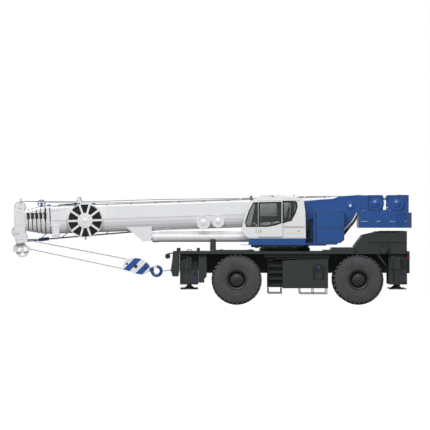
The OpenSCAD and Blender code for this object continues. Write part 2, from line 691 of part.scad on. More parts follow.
jib_y = boom_half + 60;
jib_x = [-11700, -3400];           // ends of the stowed fly jib
jib_lower = [-865, -450];          // top of the lower chord at each end
jib_upper = [-200, -180];
chord_d = 50;
jib_bays = 10;
function jib_at(x, h) = h[0] + (h[1] - h[0]) * (x - jib_x[0]) / (jib_x[1] - jib_x[0]);
module fly_jib() {
    bay = (jib_x[1] - jib_x[0] - chord_d) / jib_bays;
    color("royalblue") in_boom() {
        for (h = [jib_lower, jib_upper]) across(jib_y, jib_y + 60)
            polygon([[jib_x[0], h[0]], [jib_x[0], h[0] - chord_d], [jib_x[1], h[1] - chord_d],
                [jib_x[1], h[1]]]);
        for (i = [0 : jib_bays - 1]) {
            x0 = jib_x[0] + i * bay;
            x1 = x0 + bay;
            across(jib_y + 5, jib_y + 50) polygon([[x0, jib_at(x0, jib_lower) - 10], [x0 + 50,
                jib_at(x0 + 50, jib_lower) - 10],
                [x1 + 50, jib_at(x1 + 50, jib_upper) - chord_d + 10], [x1, jib_at(x1,
                    jib_upper) - chord_d + 10]]);
        }
        for (x = [-10800, -4400]) block([x - 60, boom_half, jib_at(x, jib_upper) - 110], [x + 60,
            jib_y + 1, jib_at(x, jib_upper)]);
    }
}
reel_at = [-9935, -230];
reel_in = boom_half + 55;      // the cable's inner face
reel_w = 70;
module cable_reel() {
    color("white") in_boom() {
        rod_y(reel_at[0], reel_at[1], 280, -reel_in - reel_w - 40, -reel_in + 20);
        rod_y(reel_at[0], reel_at[1], 80, -reel_in, -boom_half - fit);
        for (i = [0 : reel_spokes - 1]) translate([reel_at[0], 0, reel_at[1]]) rotate([0,
            i * 360 / reel_spokes, 0]) {
            block([250, -reel_in - reel_w - 20, -38], [reel_d / 2 + 40, -reel_in - reel_w, 38]);
            block([250, -reel_in, -38], [reel_d / 2 + 40, -reel_in + 15, 38]);
            block([reel_d / 2 + 2, -reel_in - reel_w - 20, -38], [reel_d / 2 + 40, -reel_in + 15, 38]);
        }
    }
}
module reel_cable() {
    color("black") in_boom() difference() {
        rod_y(reel_at[0], reel_at[1], reel_d / 2, -reel_in - reel_w + 0.3, -reel_in - 0.3);
        rod_y(reel_at[0], reel_at[1], 281, -1000, 0);
    }
}
module line(a, b, r) {
    d = b - a;
    translate(a) rotate([0, acos(d[2] / norm(d)), atan2(d[1], d[0])]) cylinder(r = r, h = norm(d));
}
block_tilt = 11.8;
block_yaw = 5.6;    // the falls slant to the left, so that the lift cylinder passes beside the block
block_at = [-2019, 1257];
rope_r = 13;
block_front = -1215;
function head_at() = row_of(main_at);
module in_block() {
    x = head_at()[0];
    translate([x, 0, 0]) rotate([0, 0, -block_yaw]) translate([block_at[0] - x, 0, block_at[1]])
        rotate([0, block_tilt, 0]) children();
}
// A point drawn in the middle plane, at y beside it, turned with the block
function aside(p, y) = let (x = head_at()[0], d = p[0] - x)
    [x + d * cos(block_yaw) + y * sin(block_yaw), y * cos(block_yaw) - d * sin(block_yaw), p[1]];
function row_of(p) = [pivot_x + p[0] * cos(stow_deg) - p[1] * sin(stow_deg),
    pivot_z + p[0] * sin(stow_deg) + p[1] * cos(stow_deg)];
function block_row(p) = block_at + [p[0] * cos(block_tilt) + p[1] * sin(block_tilt),
    p[1] * cos(block_tilt) - p[0] * sin(block_tilt)];
// How far a rope from a to b ends before the block's face, so that its slanting end is just clear of it
function end_gap(a, b) = rope_r * tan(abs(atan2(a[1] - b[1], b[0] - a[0]) - block_tilt)) + fit;
function tangent(c, q, r) = let (d = q - c, a = atan2(d[1], d[0]) - acos(r / norm(d))) c + r * [cos(a),
    sin(a)];
rope_ends = [205, -180];           // height of the upper falls' and the lower rope's end on the block
module hoist_falls() {
    q0 = block_row([block_front, rope_ends[0]]);
    t = tangent(head_at(), q0, main_r + rope_r + 2 * fit);
    q = block_row([block_front - end_gap(t, q0), rope_ends[0]]);
    low0 = block_row([block_front, rope_ends[1]]);
    anchor = row_of(anchor_at);
    low = block_row([block_front - end_gap(anchor, low0), rope_ends[1]]);
    dead_end = anchor + unit(low - anchor) * (anchor_r + rope_r * tan(block_yaw) + fit);
    color("dimgray") {
        for (y = [-120, -40, 40, 120]) line([t[0], y, t[1]], aside(q, y), rope_r);
        line([dead_end[0], 0, dead_end[1]], aside(low, 0), rope_r);
    }
}
block_outline = [[-1262, -42], [-1240, 100], [-1126, 225], [-960, 285], [-787, 320], [-566, 295], [-420,
    215],
    [-288, 113], [-255, 26], [-270, -60], [-378, -145], [-502, -243], [-809, -259], [-1109, -202],
        [-1230, -130]];
module hook_block() {
    color("white") in_block() difference() {
        union() {
            both_sides() across(130, 160) polygon(block_outline);
            across(-130, 130) polygon([[-1010, -150], [-900, -235], [-520, -220], [-400, -120], [-262,
                -80], [-262, 80],
                [-400, 180], [-560, 270], [-790, 295], [-1020, 215]]);
            for (z = rope_ends) block([block_front, -160, z - 25], [-1000, 160, z + 25]);
        }
        translate([-420, 0, 0]) rotate([0, 90, 0]) cylinder(r = 45 + fit, h = 200);
    }
}
module hook() {
    color("royalblue") in_block() {
        rotate([90, 0, 0]) rotate([0, 0, 148]) rotate_extrude(angle = 312, $fn = 64) translate([170,
            0]) circle(r = 60);
        translate([-410, 0, 0]) rotate([0, 90, 0]) cylinder(r = 45, h = 260);
        translate([-245, 0, 0]) rotate([0, 90, 0]) cylinder(r = 72, h = 50);
    }
}

// Lift cylinder
base_at = [2300, 2520];            // the lift cylinder's pin on the turntable
barrel_foot = 120;                 // from the pin to the barrel's bottom
lift_l = norm(eye_at - base_at);
lift_tilt = atan2(eye_at[1] - base_at[1], base_at[0] - eye_at[0]);
barrel_l = lift_l - barrel_foot - rod_stub;
module along_lift(d) { translate([base_at[0], 0, base_at[1]]) rotate([0, lift_tilt - 90,
    0]) translate([0, 0, d]) children(); }
module lift_barrel() {
    color("lightsteelblue") {
        along_lift(barrel_foot) difference() {
            union() {
                cylinder(r = barrel_d / 2, h = barrel_l);
                translate([0, 0, barrel_l - 240]) cylinder(r = barrel_d / 2 + 15, h = 240);
            }
            translate([0, 0, 160]) cylinder(r = lift_rod_d / 2 + fit, h = barrel_l);
        }
        rod_y(base_at[0], base_at[1], 160, -ear_gap + 1, ear_gap - 1);
        rod_y(base_at[0], base_at[1], 80, -ear_gap - 90, ear_gap + 90);
    }
}
module lift_rod() {
    color("silver") {
        along_lift(barrel_foot + 180) cylinder(r = lift_rod_d / 2, h = lift_l - barrel_foot - 280);
        rod_y(eye_at[0], eye_at[1], 160, -eye_gap + fit, eye_gap - fit);
    }
}

chassis_frame();
deck();
outrigger_boxes();
engine_hood();
engine();
side_tanks();
side_steps();
front_axle();
rear_axle();
carrier_lamps();
for (c = corners) {
    axle_x = c[1] == 0 ? front_x : rear_x;
    knuckle(axle_x, c[2]);
    tyre(axle_x, c[2]);
    rim(axle_x, c[2]);
    outrigger_beam(outrigger_xs[c[1]], c[2]);
    jack(outrigger_xs[c[1]], c[2]);
}
on_ring() turntable();
on_ring() counterweight();
on_ring() winches();
on_ring() drum(winch_xs[0]);  // main_drum
on_ring() drum(winch_xs[1]);  // aux_drum
on_ring() upper_hood();
on_ring() cab_shell();
on_ring() cab_glass();
on_ring() cab_interior();
on_ring() cab_door();
on_ring() door_glass();
on_ring() boom_base();
for (i = [2 : 6]) on_ring() boom_section(i);
on_ring() nose_sheave();
on_ring() main_sheaves();
on_ring() aux_sheave();
on_ring() hoist_falls();
on_ring() fly_jib();
on_ring() cable_reel();
on_ring() reel_cable();
on_ring() hook_block();
on_ring() hook();
on_ring() lift_barrel();
on_ring() lift_rod();
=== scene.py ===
import math
import bpy
import bmesh
from mathutils import Matrix, Vector


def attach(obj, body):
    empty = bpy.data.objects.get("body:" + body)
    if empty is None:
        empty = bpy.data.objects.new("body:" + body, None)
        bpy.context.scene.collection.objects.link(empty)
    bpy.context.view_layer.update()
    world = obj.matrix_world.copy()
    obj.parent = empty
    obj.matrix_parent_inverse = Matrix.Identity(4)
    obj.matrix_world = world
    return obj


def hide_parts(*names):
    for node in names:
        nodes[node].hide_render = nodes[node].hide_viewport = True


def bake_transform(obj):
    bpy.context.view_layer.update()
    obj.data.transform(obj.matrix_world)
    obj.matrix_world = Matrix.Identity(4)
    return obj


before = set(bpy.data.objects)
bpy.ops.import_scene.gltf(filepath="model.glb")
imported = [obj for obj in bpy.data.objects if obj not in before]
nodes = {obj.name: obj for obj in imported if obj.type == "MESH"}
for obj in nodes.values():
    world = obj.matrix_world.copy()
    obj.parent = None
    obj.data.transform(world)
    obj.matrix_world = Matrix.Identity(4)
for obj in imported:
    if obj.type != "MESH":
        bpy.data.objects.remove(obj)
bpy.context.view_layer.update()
scene = bpy.context.scene


# Materials

def linear(colour):
    """An sRGB hex value as linear RGBA."""
    channels = [int(colour[i:i + 2], 16) / 255 for i in (1, 3, 5)]
    return tuple(c / 12.92 if c <= 0.04045 else ((c + 0.055) / 1.055) ** 2.4 for c in channels) + (1.0,)


def add(tree, kind, settings=None, **links):
    """Adds a node, sets its properties, and fills its sockets with values or with other nodes' sockets."""
    node = tree.nodes.new(kind)
    for key, value in (settings or {}).items():
        setattr(node, key, value)
    for key, value in links.items():
        name = key.replace("_", " ")
        socket = node.inputs[int(name[1:])] if name[0] == "i" and name[1:].isdigit() else node.inputs[name]
        if isinstance(value, bpy.types.NodeSocket):
            tree.links.new(value, socket)
        else:
            socket.default_value = value
    return node


def new_material(name):
    material = bpy.data.materials.new(name)
    material.use_nodes = True
    tree = material.node_tree
    tree.nodes.clear()
    shader = add(tree, "ShaderNodeBsdfPrincipled")
    add(tree, "ShaderNodeOutputMaterial", Surface=shader.outputs[0])
    return material, tree, shader


def ramp(tree, factor, stops):
    node = add(tree, "ShaderNodeValToRGB", Fac=factor)
    elements = node.color_ramp.elements
    while len(elements) < len(stops):
        elements.new(0.5)
    for element, (place, colour) in zip(elements, stops):
        element.position = place
        element.color = linear(colour) if isinstance(colour, str) else (colour, colour, colour, 1)
    return node.outputs["Color"]


def mix(tree, factor, a, b):
    node = add(tree, "ShaderNodeMix", {"data_type": "RGBA"})
    for socket, value in ((node.inputs[0], factor), (node.inputs[6], a), (node.inputs[7], b)):
        if isinstance(value, bpy.types.NodeSocket):
            tree.links.new(value, socket)
        else:
            socket.default_value = value
    return node.outputs[2]


def noise(tree, scale, detail=3.0, rough=0.5, vector=None):
    place = vector or add(tree, "ShaderNodeTexCoord").outputs["Object"]
    return add(tree, "ShaderNodeTexNoise", Vector=place, Scale=scale, Detail=detail,
               Roughness=rough).outputs["Fac"]


def sprayed_paint(name, colour, dust_colour, dust_top=0.0, gloss=0.3, dust=0.12, coat=0.4):
    """Two-pack paint sprayed on steel plate: a clear gloss with faint orange peel, slow changes of tone
    from panel to panel, and road dust that gathers low down."""
    material, tree, shader = new_material(name)
    cloud = noise(tree, 0.9, 4.0)
    tone = ramp(tree, cloud, [(0.35, 0.42), (0.65, 0.58)])
    place = add(tree, "ShaderNodeTexCoord").outputs["Object"]
    height = add(tree, "ShaderNodeSeparateXYZ", Vector=place).outputs["Z"]
    low = add(tree, "ShaderNodeMapRange", Value=height, From_Min=dust_top, From_Max=dust_top - 1.6,
              To_Min=0.0, To_Max=1.0)
    speck = ramp(tree, noise(tree, 14.0, 6.0, 0.65), [(0.42, 0.0), (0.72, 1.0)])
    film = add(tree, "ShaderNodeMath", {"operation": "MULTIPLY"}, i0=low.outputs[0], i1=speck)
    amount = add(tree, "ShaderNodeMath", {"operation": "MULTIPLY_ADD"}, i0=film.outputs[0], i1=dust * 2.2,
                 i2=dust * 0.25)
    base = linear(colour)
    light = tuple(min(1.0, c * 1.06) for c in base[:3]) + (1.0,)
    dark = tuple(c * 0.93 for c in base[:3]) + (1.0,)
    shade = mix(tree, tone, dark, light)
    tree.links.new(mix(tree, amount.outputs[0], shade, linear(dust_colour)), shader.inputs["Base Color"])
    rough = add(tree, "ShaderNodeMath", {"operation": "MULTIPLY_ADD"}, i0=amount.outputs[0], i1=0.5, i2=gloss)
    tree.links.new(rough.outputs[0], shader.inputs["Roughness"])
    # orange peel is about 2 mm across; it is drawn at 11 mm to show
    peel = noise(tree, 90.0, 2.0)
    bump = add(tree, "ShaderNodeBump", Height=peel, Strength=0.05, Distance=0.002)
    tree.links.new(bump.outputs[0], shader.inputs["Normal"])
    shader.inputs["Coat Weight"].default_value = coat
    shader.inputs["Coat Roughness"].default_value = 0.08
    return material


def cured_rubber(name, colour, worn, scale=1.0):
    """Moulded tyre rubber: matt, greyed by dust and ozone, with a fine pebbled skin."""
    material, tree, shader = new_material(name)
    cloud = ramp(tree, noise(tree, 3.0 * scale, 6.0, 0.6), [(0.3, colour), (0.75, worn)])
    tree.links.new(cloud, shader.inputs["Base Color"])
    shader.inputs["Roughness"].default_value = 0.85
    shader.inputs["Specular IOR Level"].default_value = 0.3
    # the pebbling is about 1 mm; it is drawn at 6 mm, or 3 mm on the cable, to show
    grain = noise(tree, 160.0 * scale, 3.0)
    bump = add(tree, "ShaderNodeBump", Height=grain, Strength=0.25, Distance=0.003)
    tree.links.new(bump.outputs[0], shader.inputs["Normal"])
    return material


def machined_steel(name, colour, rough=0.35, streak=(4.0, 240.0, 240.0)):
    """Turned or drawn steel: fine parallel tool marks and a slow stain from oil."""
    material, tree, shader = new_material(name)
    place = add(tree, "ShaderNodeTexCoord").outputs["Object"]
    stretched = add(tree, "ShaderNodeMapping", Vector=place, Scale=streak).outputs[0]
    # tool marks are a few tenths of a millimetre apart; they are drawn at about 4 mm to show
    marks = noise(tree, 1.0, 3.0, 0.5, stretched)
    stain = noise(tree, 5.0, 5.0)
    base = linear(colour)
    dark = tuple(c * 0.7 for c in base[:3]) + (1.0,)
    tree.links.new(mix(tree, ramp(tree, stain, [(0.3, 0.0), (0.7, 1.0)]), dark, base),
                   shader.inputs["Base Color"])
    shader.inputs["Metallic"].default_value = 1.0
    spread = add(tree, "ShaderNodeMath", {"operation": "MULTIPLY_ADD"}, i0=marks, i1=0.25, i2=rough - 0.12)
    tree.links.new(spread.outputs[0], shader.inputs["Roughness"])
    bump = add(tree, "ShaderNodeBump", Height=marks, Strength=0.08, Distance=0.001)
    tree.links.new(bump.outputs[0], shader.inputs["Normal"])
    return material


def moulded_plastic(name, colour, rough=0.55):
    """Injection-moulded plastic with a fine leather-like grain."""
    material, tree, shader = new_material(name)
    base = linear(colour)
    pale = tuple(min(1.0, c * 1.25 + 0.004) for c in base[:3]) + (1.0,)
    tree.links.new(mix(tree, noise(tree, 6.0, 4.0), base, pale), shader.inputs["Base Color"])
    shader.inputs["Roughness"].default_value = rough
    # the grain is about 0.5 mm; it is drawn at 4.5 mm to show
    bump = add(tree, "ShaderNodeBump", Height=noise(tree, 220.0, 2.0), Strength=0.15, Distance=0.001)
    tree.links.new(bump.outputs[0], shader.inputs["Normal"])
    return material


def tinted_glass(name, colour):
    """Float glass tinted in the melt, with a trace of dust on its outside."""
    material, tree, shader = new_material(name)
    film = ramp(tree, noise(tree, 5.0, 5.0), [(0.45, 0.015), (0.8, 0.06)])
    shader.inputs["Base Color"].default_value = linear(colour)
    tree.links.new(film, shader.inputs["Roughness"])
    shader.inputs["Transmission Weight"].default_value = 1.0
    shader.inputs["IOR"].default_value = 1.45
    return material


def stripes(name, ground, band, pitch, tilt):
    """Paint masked off in diagonal bands, one coat over the other, with a hard edge between them."""
    material, tree, shader = new_material(name)
    place = add(tree, "ShaderNodeTexCoord").outputs["Object"]
    turned = add(tree, "ShaderNodeMapping", Vector=place, Rotation=(0.0, tilt, 0.0)).outputs[0]
    along = add(tree, "ShaderNodeSeparateXYZ", Vector=turned).outputs["X"]
    steps = add(tree, "ShaderNodeMath", {"operation": "PINGPONG"}, i0=along, i1=pitch)
    share = add(tree, "ShaderNodeMath", {"operation": "DIVIDE"}, i0=steps.outputs[0], i1=pitch)
    edge = ramp(tree, share.outputs[0], [(0.49, 0.0), (0.51, 1.0)])
    colour = mix(tree, edge, linear(ground), linear(band))
    wear = ramp(tree, noise(tree, 18.0, 6.0, 0.7), [(0.62, 0.0), (0.75, 0.35)])
    tree.links.new(mix(tree, wear, colour, linear("#8C9094")), shader.inputs["Base Color"])
    shader.inputs["Roughness"].default_value = 0.35
    bump = add(tree, "ShaderNodeBump", Height=noise(tree, 90.0, 2.0), Strength=0.05, Distance=0.002)
    tree.links.new(bump.outputs[0], shader.inputs["Normal"])
    return material


# The boom and cab: a clean bright gloss, with dust only low down
white = sprayed_paint("white_gloss_enamel", "#E4E5E7", "#B9B4A8", 1.0, 0.28, 0.06)
# Superstructure, hook and jib: a deep blue gloss that shows its dust more
blue = sprayed_paint("blue_gloss_enamel", "#0F4B90", "#7D8187", 1.5, 0.3, 0.08)
# The carrier, its rims and fittings: satin paints, near black, greyed by road dust
dark_green = sprayed_paint("dark_green_chassis_paint", "#1F2727", "#44463F", 1.9, 0.5, 0.12, 0.15)
# The rims' grey is set darker than their paint to carry the shade in the wheel's recess: partly painted shade
rim_and_recess_shade = sprayed_paint("dark_grey_rim_and_recess_shade", "#181D1E", "#3A3A35", 1.6, 0.5, 0.2, 0.1)
black = sprayed_paint("black_satin_paint", "#0A0B0B", "#26261F", 1.6, 0.5, 0.08, 0.1)
# Tyres: matt grey rubber
rubber = cured_rubber("tyre_rubber", "#444447", "#545457")
# Drums, pins and bolts: turned steel, dulled by oil; the rod: hard chrome, much smoother
steel = machined_steel("turned_steel", "#8D9093")
chrome = machined_steel("hard_chrome_rod", "#C9CCCF", 0.16, (2.0, 60.0, 60.0))
# The engine: a rough iron casting under matt paint
cast = sprayed_paint("cast_iron_engine_paint", "#3B3D3F", "#55524B", 1.9, 0.6, 0.3, 0.0)
# Cab windows: faintly green float glass; the cab's plastics and rubbers are dull and dark
glazing = tinted_glass("tinted_cab_glass", "#E2E8E5")
trim = moulded_plastic("cab_trim_plastic", "#26282A", 0.6)
seal_rubber = moulded_plastic("window_seal_rubber", "#191B1C", 0.7)
# Welds, rollers and handles are a shade greyer than the white round them; on the boom's weld seams that grey
# is painted shade along the seam
seam_grey = sprayed_paint("grey_trim_enamel_and_seam_shade", "#B4B6B9", "#9A968C", 1.9, 0.4, 0.1, 0.1)
navy = sprayed_paint("navy_enamel", "#262A40", "#55575E", 1.8, 0.4, 0.12, 0.2)
# The reel's cable: black rubber sheath; ropes: grey drawn wire
reel_rubber = cured_rubber("reel_cable_rubber", "#17191A", "#2B2C2D", 2.0)
rope_steel = machined_steel("drawn_rope_wire", "#77797B", 0.5, (60.0, 60.0, 4.0))
pale_mark = sprayed_paint("white_marking_paint", "#DCDDDE", "#A8A49A", 1.9, 0.45, 0.1, 0.0)
# The seat: dull dark upholstery; the lamps' lenses: smooth coloured acrylic, without light
seat_cloth = moulded_plastic("woven_seat_cloth", "#2F3236", 0.9)
amber_lens = moulded_plastic("amber_acrylic_lens", "#D98512", 0.12)
red_lens = moulded_plastic("red_acrylic_lens", "#A3161A", 0.12)
clear_lens = moulded_plastic("clear_acrylic_lens", "#D4D8DA", 0.08)
# The hook block: blue bands about 200 mm wide on white, as a warning
block_stripes = stripes("hook_block_stripes", "#E9EAEC", "#24509A", 0.21, math.radians(-45))

finish_of = {
    "chassis_frame": dark_green, "deck": dark_green, "outrigger_boxes": dark_green, "engine_hood": dark_green,
    "engine": cast, "side_tanks": dark_green, "side_steps": black, "front_axle": dark_green,
    "rear_axle": dark_green,
    "carrier_lamps": black, "turntable": blue, "counterweight": blue, "winches": blue, "main_drum": steel,
    "aux_drum": steel, "upper_hood": blue, "cab_shell": white, "cab_glass": glazing, "cab_interior": trim,
    "cab_door": white, "door_glass": glazing, "boom_base": white, "nose_sheave": white, "main_sheaves": white,
    "aux_sheave": white, "fly_jib": blue, "cable_reel": white, "reel_cable": reel_rubber,
    "hoist_falls": steel, "hook_block": block_stripes, "hook": blue, "lift_barrel": white,
    "lift_rod": chrome,
}
for number in range(2, 7):
    finish_of["boom_section_%d" % number] = white
for corner in ("fl", "fr", "rl", "rr"):
    finish_of["tyre_" + corner] = rubber
    finish_of["rim_" + corner] = rim_and_recess_shade
    finish_of["knuckle_" + corner] = rim_and_recess_shade
    finish_of["beam_" + corner] = dark_green
    finish_of["jack_" + corner] = black
for name, material in finish_of.items():
    mesh = nodes[name].data
    mesh.materials.clear()
    mesh.materials.append(material)


# Shaping tools

class Form:
    """A piece being made, in millimetres, in the machine's frame or in the boom's own."""

    def __init__(self, frame_of_piece=None):
        self.mesh = bmesh.new()
        self.frame = frame_of_piece or Matrix.Identity(4)

    def solid(self, loops, closed=False, soft=0.0):
        """Skins a row of vertex loops; the end loops are capped unless the row closes on itself."""
        rings = [[self.mesh.verts.new(p) for p in loop] for loop in loops]
        faces = []
        pairs = list(zip(rings, rings[1:])) + ([(rings[-1], rings[0])] if closed else [])
        for low, high in pairs:
            count = max(len(low), len(high))
            for i in range(count):
                k = (i + 1) % count
                corners = [low[i % len(low)], low[k % len(low)], high[k % len(high)], high[i % len(high)]]
                corners = [c for n, c in enumerate(corners) if c not in corners[:n]]
                if len(corners) > 2:
                    faces.append(self.mesh.faces.new(corners))
        if not closed:
            faces += [self.mesh.faces.new(ring) for ring in (rings[0], rings[-1]) if len(ring) > 2]
        bmesh.ops.recalc_face_normals(self.mesh, faces=faces)
        if soft:
            edges = [e for e in {e for f in faces for e in f.edges} if e.calc_face_angle(0.0) > 0.5]
            bmesh.ops.bevel(self.mesh, geom=edges, offset=soft, segments=2, affect="EDGES",
                            clamp_overlap=True)
        return self

    def slab(self, outline, low, high, axis="Y", soft=0.0):
        """A flat outline given a thickness along one axis; the outline is seen along that axis."""
        def at(p, h):
            return {"X": (h, p[0], p[1]), "Y": (p[0], h, p[1]), "Z": (p[0], p[1], h)}[axis]
        return self.solid([[at(p, low) for p in outline], [at(p, high) for p in outline]], soft=soft)

    def block(self, a, b, soft=0.0):
        return self.slab([(a[0], a[2]), (b[0], a[2]), (b[0], b[2]), (a[0], b[2])], a[1], b[1], soft=soft)

    def turned(self, centre, section, axis="Y", steps=32):
        """A section of (radius, place along the axis), turned about an axis through centre."""
        loops = []
        for radius, along in section:
            ring = []
            for i in range(steps if radius > 0 else 1):
                c, s = radius * math.cos(i * math.tau / steps), radius * math.sin(i * math.tau / steps)
                offset = {"X": (along, c, s), "Y": (c, along, s), "Z": (c, s, along)}[axis]
                ring.append(tuple(m + n for m, n in zip(centre, offset)))
            loops.append(ring)
        hollow = section[0][0] > 0 and section[-1][0] > 0
        return self.solid(loops, closed=hollow)

    def ring_frame(self, outline, inner, low, high, axis="Y"):
        """The flat frame between two outlines of as many points each."""
        def at(p, h):
            return {"X": (h, p[0], p[1]), "Y": (p[0], h, p[1]), "Z": (p[0], p[1], h)}[axis]
        loops = [[at(p, h) for p in line] for line, h in ((outline, low), (outline, high), (inner, high),
                                                          (inner, low))]
        return self.solid(loops, closed=True)

    def pipe(self, path, radius, sides=10, smooth=0):
        """A round bar, pipe or hose along a path."""
        points = [Vector(p) for p in path]
        for _ in range(smooth):
            rounded = [points[0]]
            for p, q in zip(points, points[1:]):
                rounded += [p.lerp(q, 0.25), p.lerp(q, 0.75)]
            points = rounded + [points[-1]]
        aim = (points[1] - points[0]).normalized()
        side = aim.orthogonal().normalized()
        loops = []
        for i, p in enumerate(points):
            ahead = (points[min(i + 1, len(points) - 1)] - points[max(i - 1, 0)]).normalized()
            side = (side - ahead * side.dot(ahead)).normalized()
            other = ahead.cross(side)
            turns = [k * math.tau / sides for k in range(sides)]
            loops.append([p + (side * math.cos(turn) + other * math.sin(turn)) * radius for turn in turns])
        return self.solid(loops)

    def cushion(self, a, b, crown, cuts=3):
        """A stuffed pad in the box from a to b, alone in its form: crowned, pulled in at the corners."""
        low, high = Vector(a), Vector(b)
        middle, half = (low + high) / 2, (high - low) / 2
        bmesh.ops.create_cube(self.mesh, size=2.0)
        bmesh.ops.subdivide_edges(self.mesh, edges=self.mesh.edges[:], cuts=cuts * 2 + 1,
                                  use_grid_fill=True)
        for v in self.mesh.verts:
            x, y, z = v.co
            sizes = [1 - 0.16 * (abs(q) ** 4 + abs(r) ** 4) + crown * (1 - q * q) * (1 - r * r)
                     for q, r in ((y, z), (x, z), (x, y))]
            v.co = middle + Vector([c * h * s / (1 + crown) for c, h, s in zip((x, y, z), half, sizes)])
        return self

    def mirrored(self):
        """Adds the same shapes on the other side of the middle plane."""
        every = self.mesh.verts[:] + self.mesh.edges[:] + self.mesh.faces[:]
        copy = bmesh.ops.duplicate(self.mesh, geom=every)
        verts = [v for v in copy["geom"] if isinstance(v, bmesh.types.BMVert)]
        faces = [f for f in copy["geom"] if isinstance(f, bmesh.types.BMFace)]
        for v in verts:
            v.co.y = -v.co.y
        bmesh.ops.reverse_faces(self.mesh, faces=faces)
        return self

    def made(self, name, finish, body, slot, crease=35.0, both=False):
        if both:
            self.mirrored()
        mesh = bpy.data.meshes.new(name)
        for face in self.mesh.faces:
            face.smooth = True
        for edge in self.mesh.edges:
            edge.smooth = edge.calc_face_angle(0.0) < math.radians(crease)
        self.mesh.to_mesh(mesh)
        self.mesh.free()
        mesh.transform(Matrix.Scale(0.001, 4) @ self.frame)
        return placed(name, mesh, finish, body)


def placed(name, mesh, finish, body):
    piece = bpy.data.objects.new(name, mesh)
    scene.collection.objects.link(piece)
    mesh.materials.clear()
    mesh.materials.append(finish)
    if body:
        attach(piece, body)
    return piece


def inset(outline, d):
    """Moves a counter-clockwise outline inwards by d."""
    points = [Vector(p) for p in outline]
    moved = []
    for i, p in enumerate(points):
        before, after = (p - points[i - 1]).normalized(), (points[(i + 1) % len(points)] - p).normalized()
        n1, n2 = Vector((-before.y, before.x)), Vector((-after.y, after.x))
        moved.append(p + (n1 + n2) * d / (1 + n1.dot(n2)))
    return moved


# Repeated parts

def growing_tree(name, inputs, grow):
    """A node tree with named inputs whose shape, grown by grow, is realised and given its material."""
    tree = bpy.data.node_groups.new(name, "GeometryNodeTree")
    tree.interface.new_socket("Shape", in_out="OUTPUT", socket_type="NodeSocketGeometry")
    sorts = {float: "NodeSocketFloat", int: "NodeSocketInt", tuple: "NodeSocketVector"}
    names = {}
    for label, value in list(inputs.items()) + [("Finish", None)]:
        sort = "NodeSocketMaterial" if value is None else sorts[type(value)]
        item = tree.interface.new_socket(label, in_out="INPUT", socket_type=sort)
        if value is not None:
            item.default_value = value
        names[label] = item.identifier
    given = add(tree, "NodeGroupInput").outputs
    shape = grow(tree, given)
    real = add(tree, "GeometryNodeRealizeInstances", Geometry=shape)
    coated = add(tree, "GeometryNodeSetMaterial", Geometry=real.outputs[0], Material=given["Finish"])
    add(tree, "NodeGroupOutput", Shape=coated.outputs[0])
    return tree, names


def grown(name, tree_and_names, finish, body, slot, place=None, **values):
    """A plain mesh from a tree, with the tree's inputs set, moved to its place. Sizes are in millimetres."""
    tree, names = tree_and_names
    host = bpy.data.objects.new(name + "_host", bpy.data.meshes.new(name + "_host"))
    scene.collection.objects.link(host)
    modifier = host.modifiers.new("grow", "NODES")
    modifier.node_group = tree
    modifier[names["Finish"]] = finish
    for label, value in values.items():
        if isinstance(value, tuple):
            value = tuple(float(v) for v in value)
        modifier[names[label.replace("_", " ")]] = value
    bpy.context.view_layer.update()
    seen = host.evaluated_get(bpy.context.evaluated_depsgraph_get())
    mesh = bpy.data.meshes.new_from_object(seen)
    host.modifiers.remove(modifier)
    bpy.data.objects.remove(host)
    mesh.transform(Matrix.Scale(0.001, 4) @ (place or Matrix.Identity(4)))
    return placed(name, mesh, finish, body)


def turn_of(tree, count):
    """The rotation of the n-th of count parts around Z."""
    index = add(tree, "GeometryNodeInputIndex").outputs[0]
    share = add(tree, "ShaderNodeMath", {"operation": "DIVIDE"}, i0=index, i1=count).outputs[0]
    angle = add(tree, "ShaderNodeMath", {"operation": "MULTIPLY"}, i0=share, i1=math.tau).outputs[0]
    return add(tree, "ShaderNodeCombineXYZ", Z=angle).outputs[0]


def grow_bolts(tree, given):
    ring = add(tree, "GeometryNodeMeshCircle", Vertices=given["Count"], Radius=given["Ring radius"])
    bolt = add(tree, "GeometryNodeMeshCylinder", Vertices=6, Radius=given["Bolt radius"],
               Depth=given["Bolt height"])
    spots = add(tree, "GeometryNodeInstanceOnPoints", Points=ring.outputs[0], Instance=bolt.outputs[0],
                Rotation=turn_of(tree, given["Count"]))
    return spots.outputs[0]


def grow_row(tree, given):
    line = add(tree, "GeometryNodeMeshLine", {"mode": "END_POINTS"}, Count=given["Count"])
    tree.links.new(given["Start"], line.inputs["Start Location"])
    tree.links.new(given["End"], line.inputs["Offset"])
    part = add(tree, "GeometryNodeMeshCube", Size=given["Size"])
    spots = add(tree, "GeometryNodeInstanceOnPoints", Points=line.outputs[0], Instance=part.outputs[0],
                Rotation=given["Tilt"])
    return spots.outputs[0]


def grow_coil(tree, given):
    run = add(tree, "GeometryNodeCurveSpiral", Resolution=28, Rotations=given["Turns"], Height=given["Width"])
    tree.links.new(given["Inner radius"], run.inputs["Start Radius"])
    tree.links.new(given["Outer radius"], run.inputs["End Radius"])
    section = add(tree, "GeometryNodeCurvePrimitiveCircle", Resolution=8, Radius=given["Rope radius"])
    return add(tree, "GeometryNodeCurveToMesh", Curve=run.outputs[0], i1=section.outputs[0]).outputs[0]


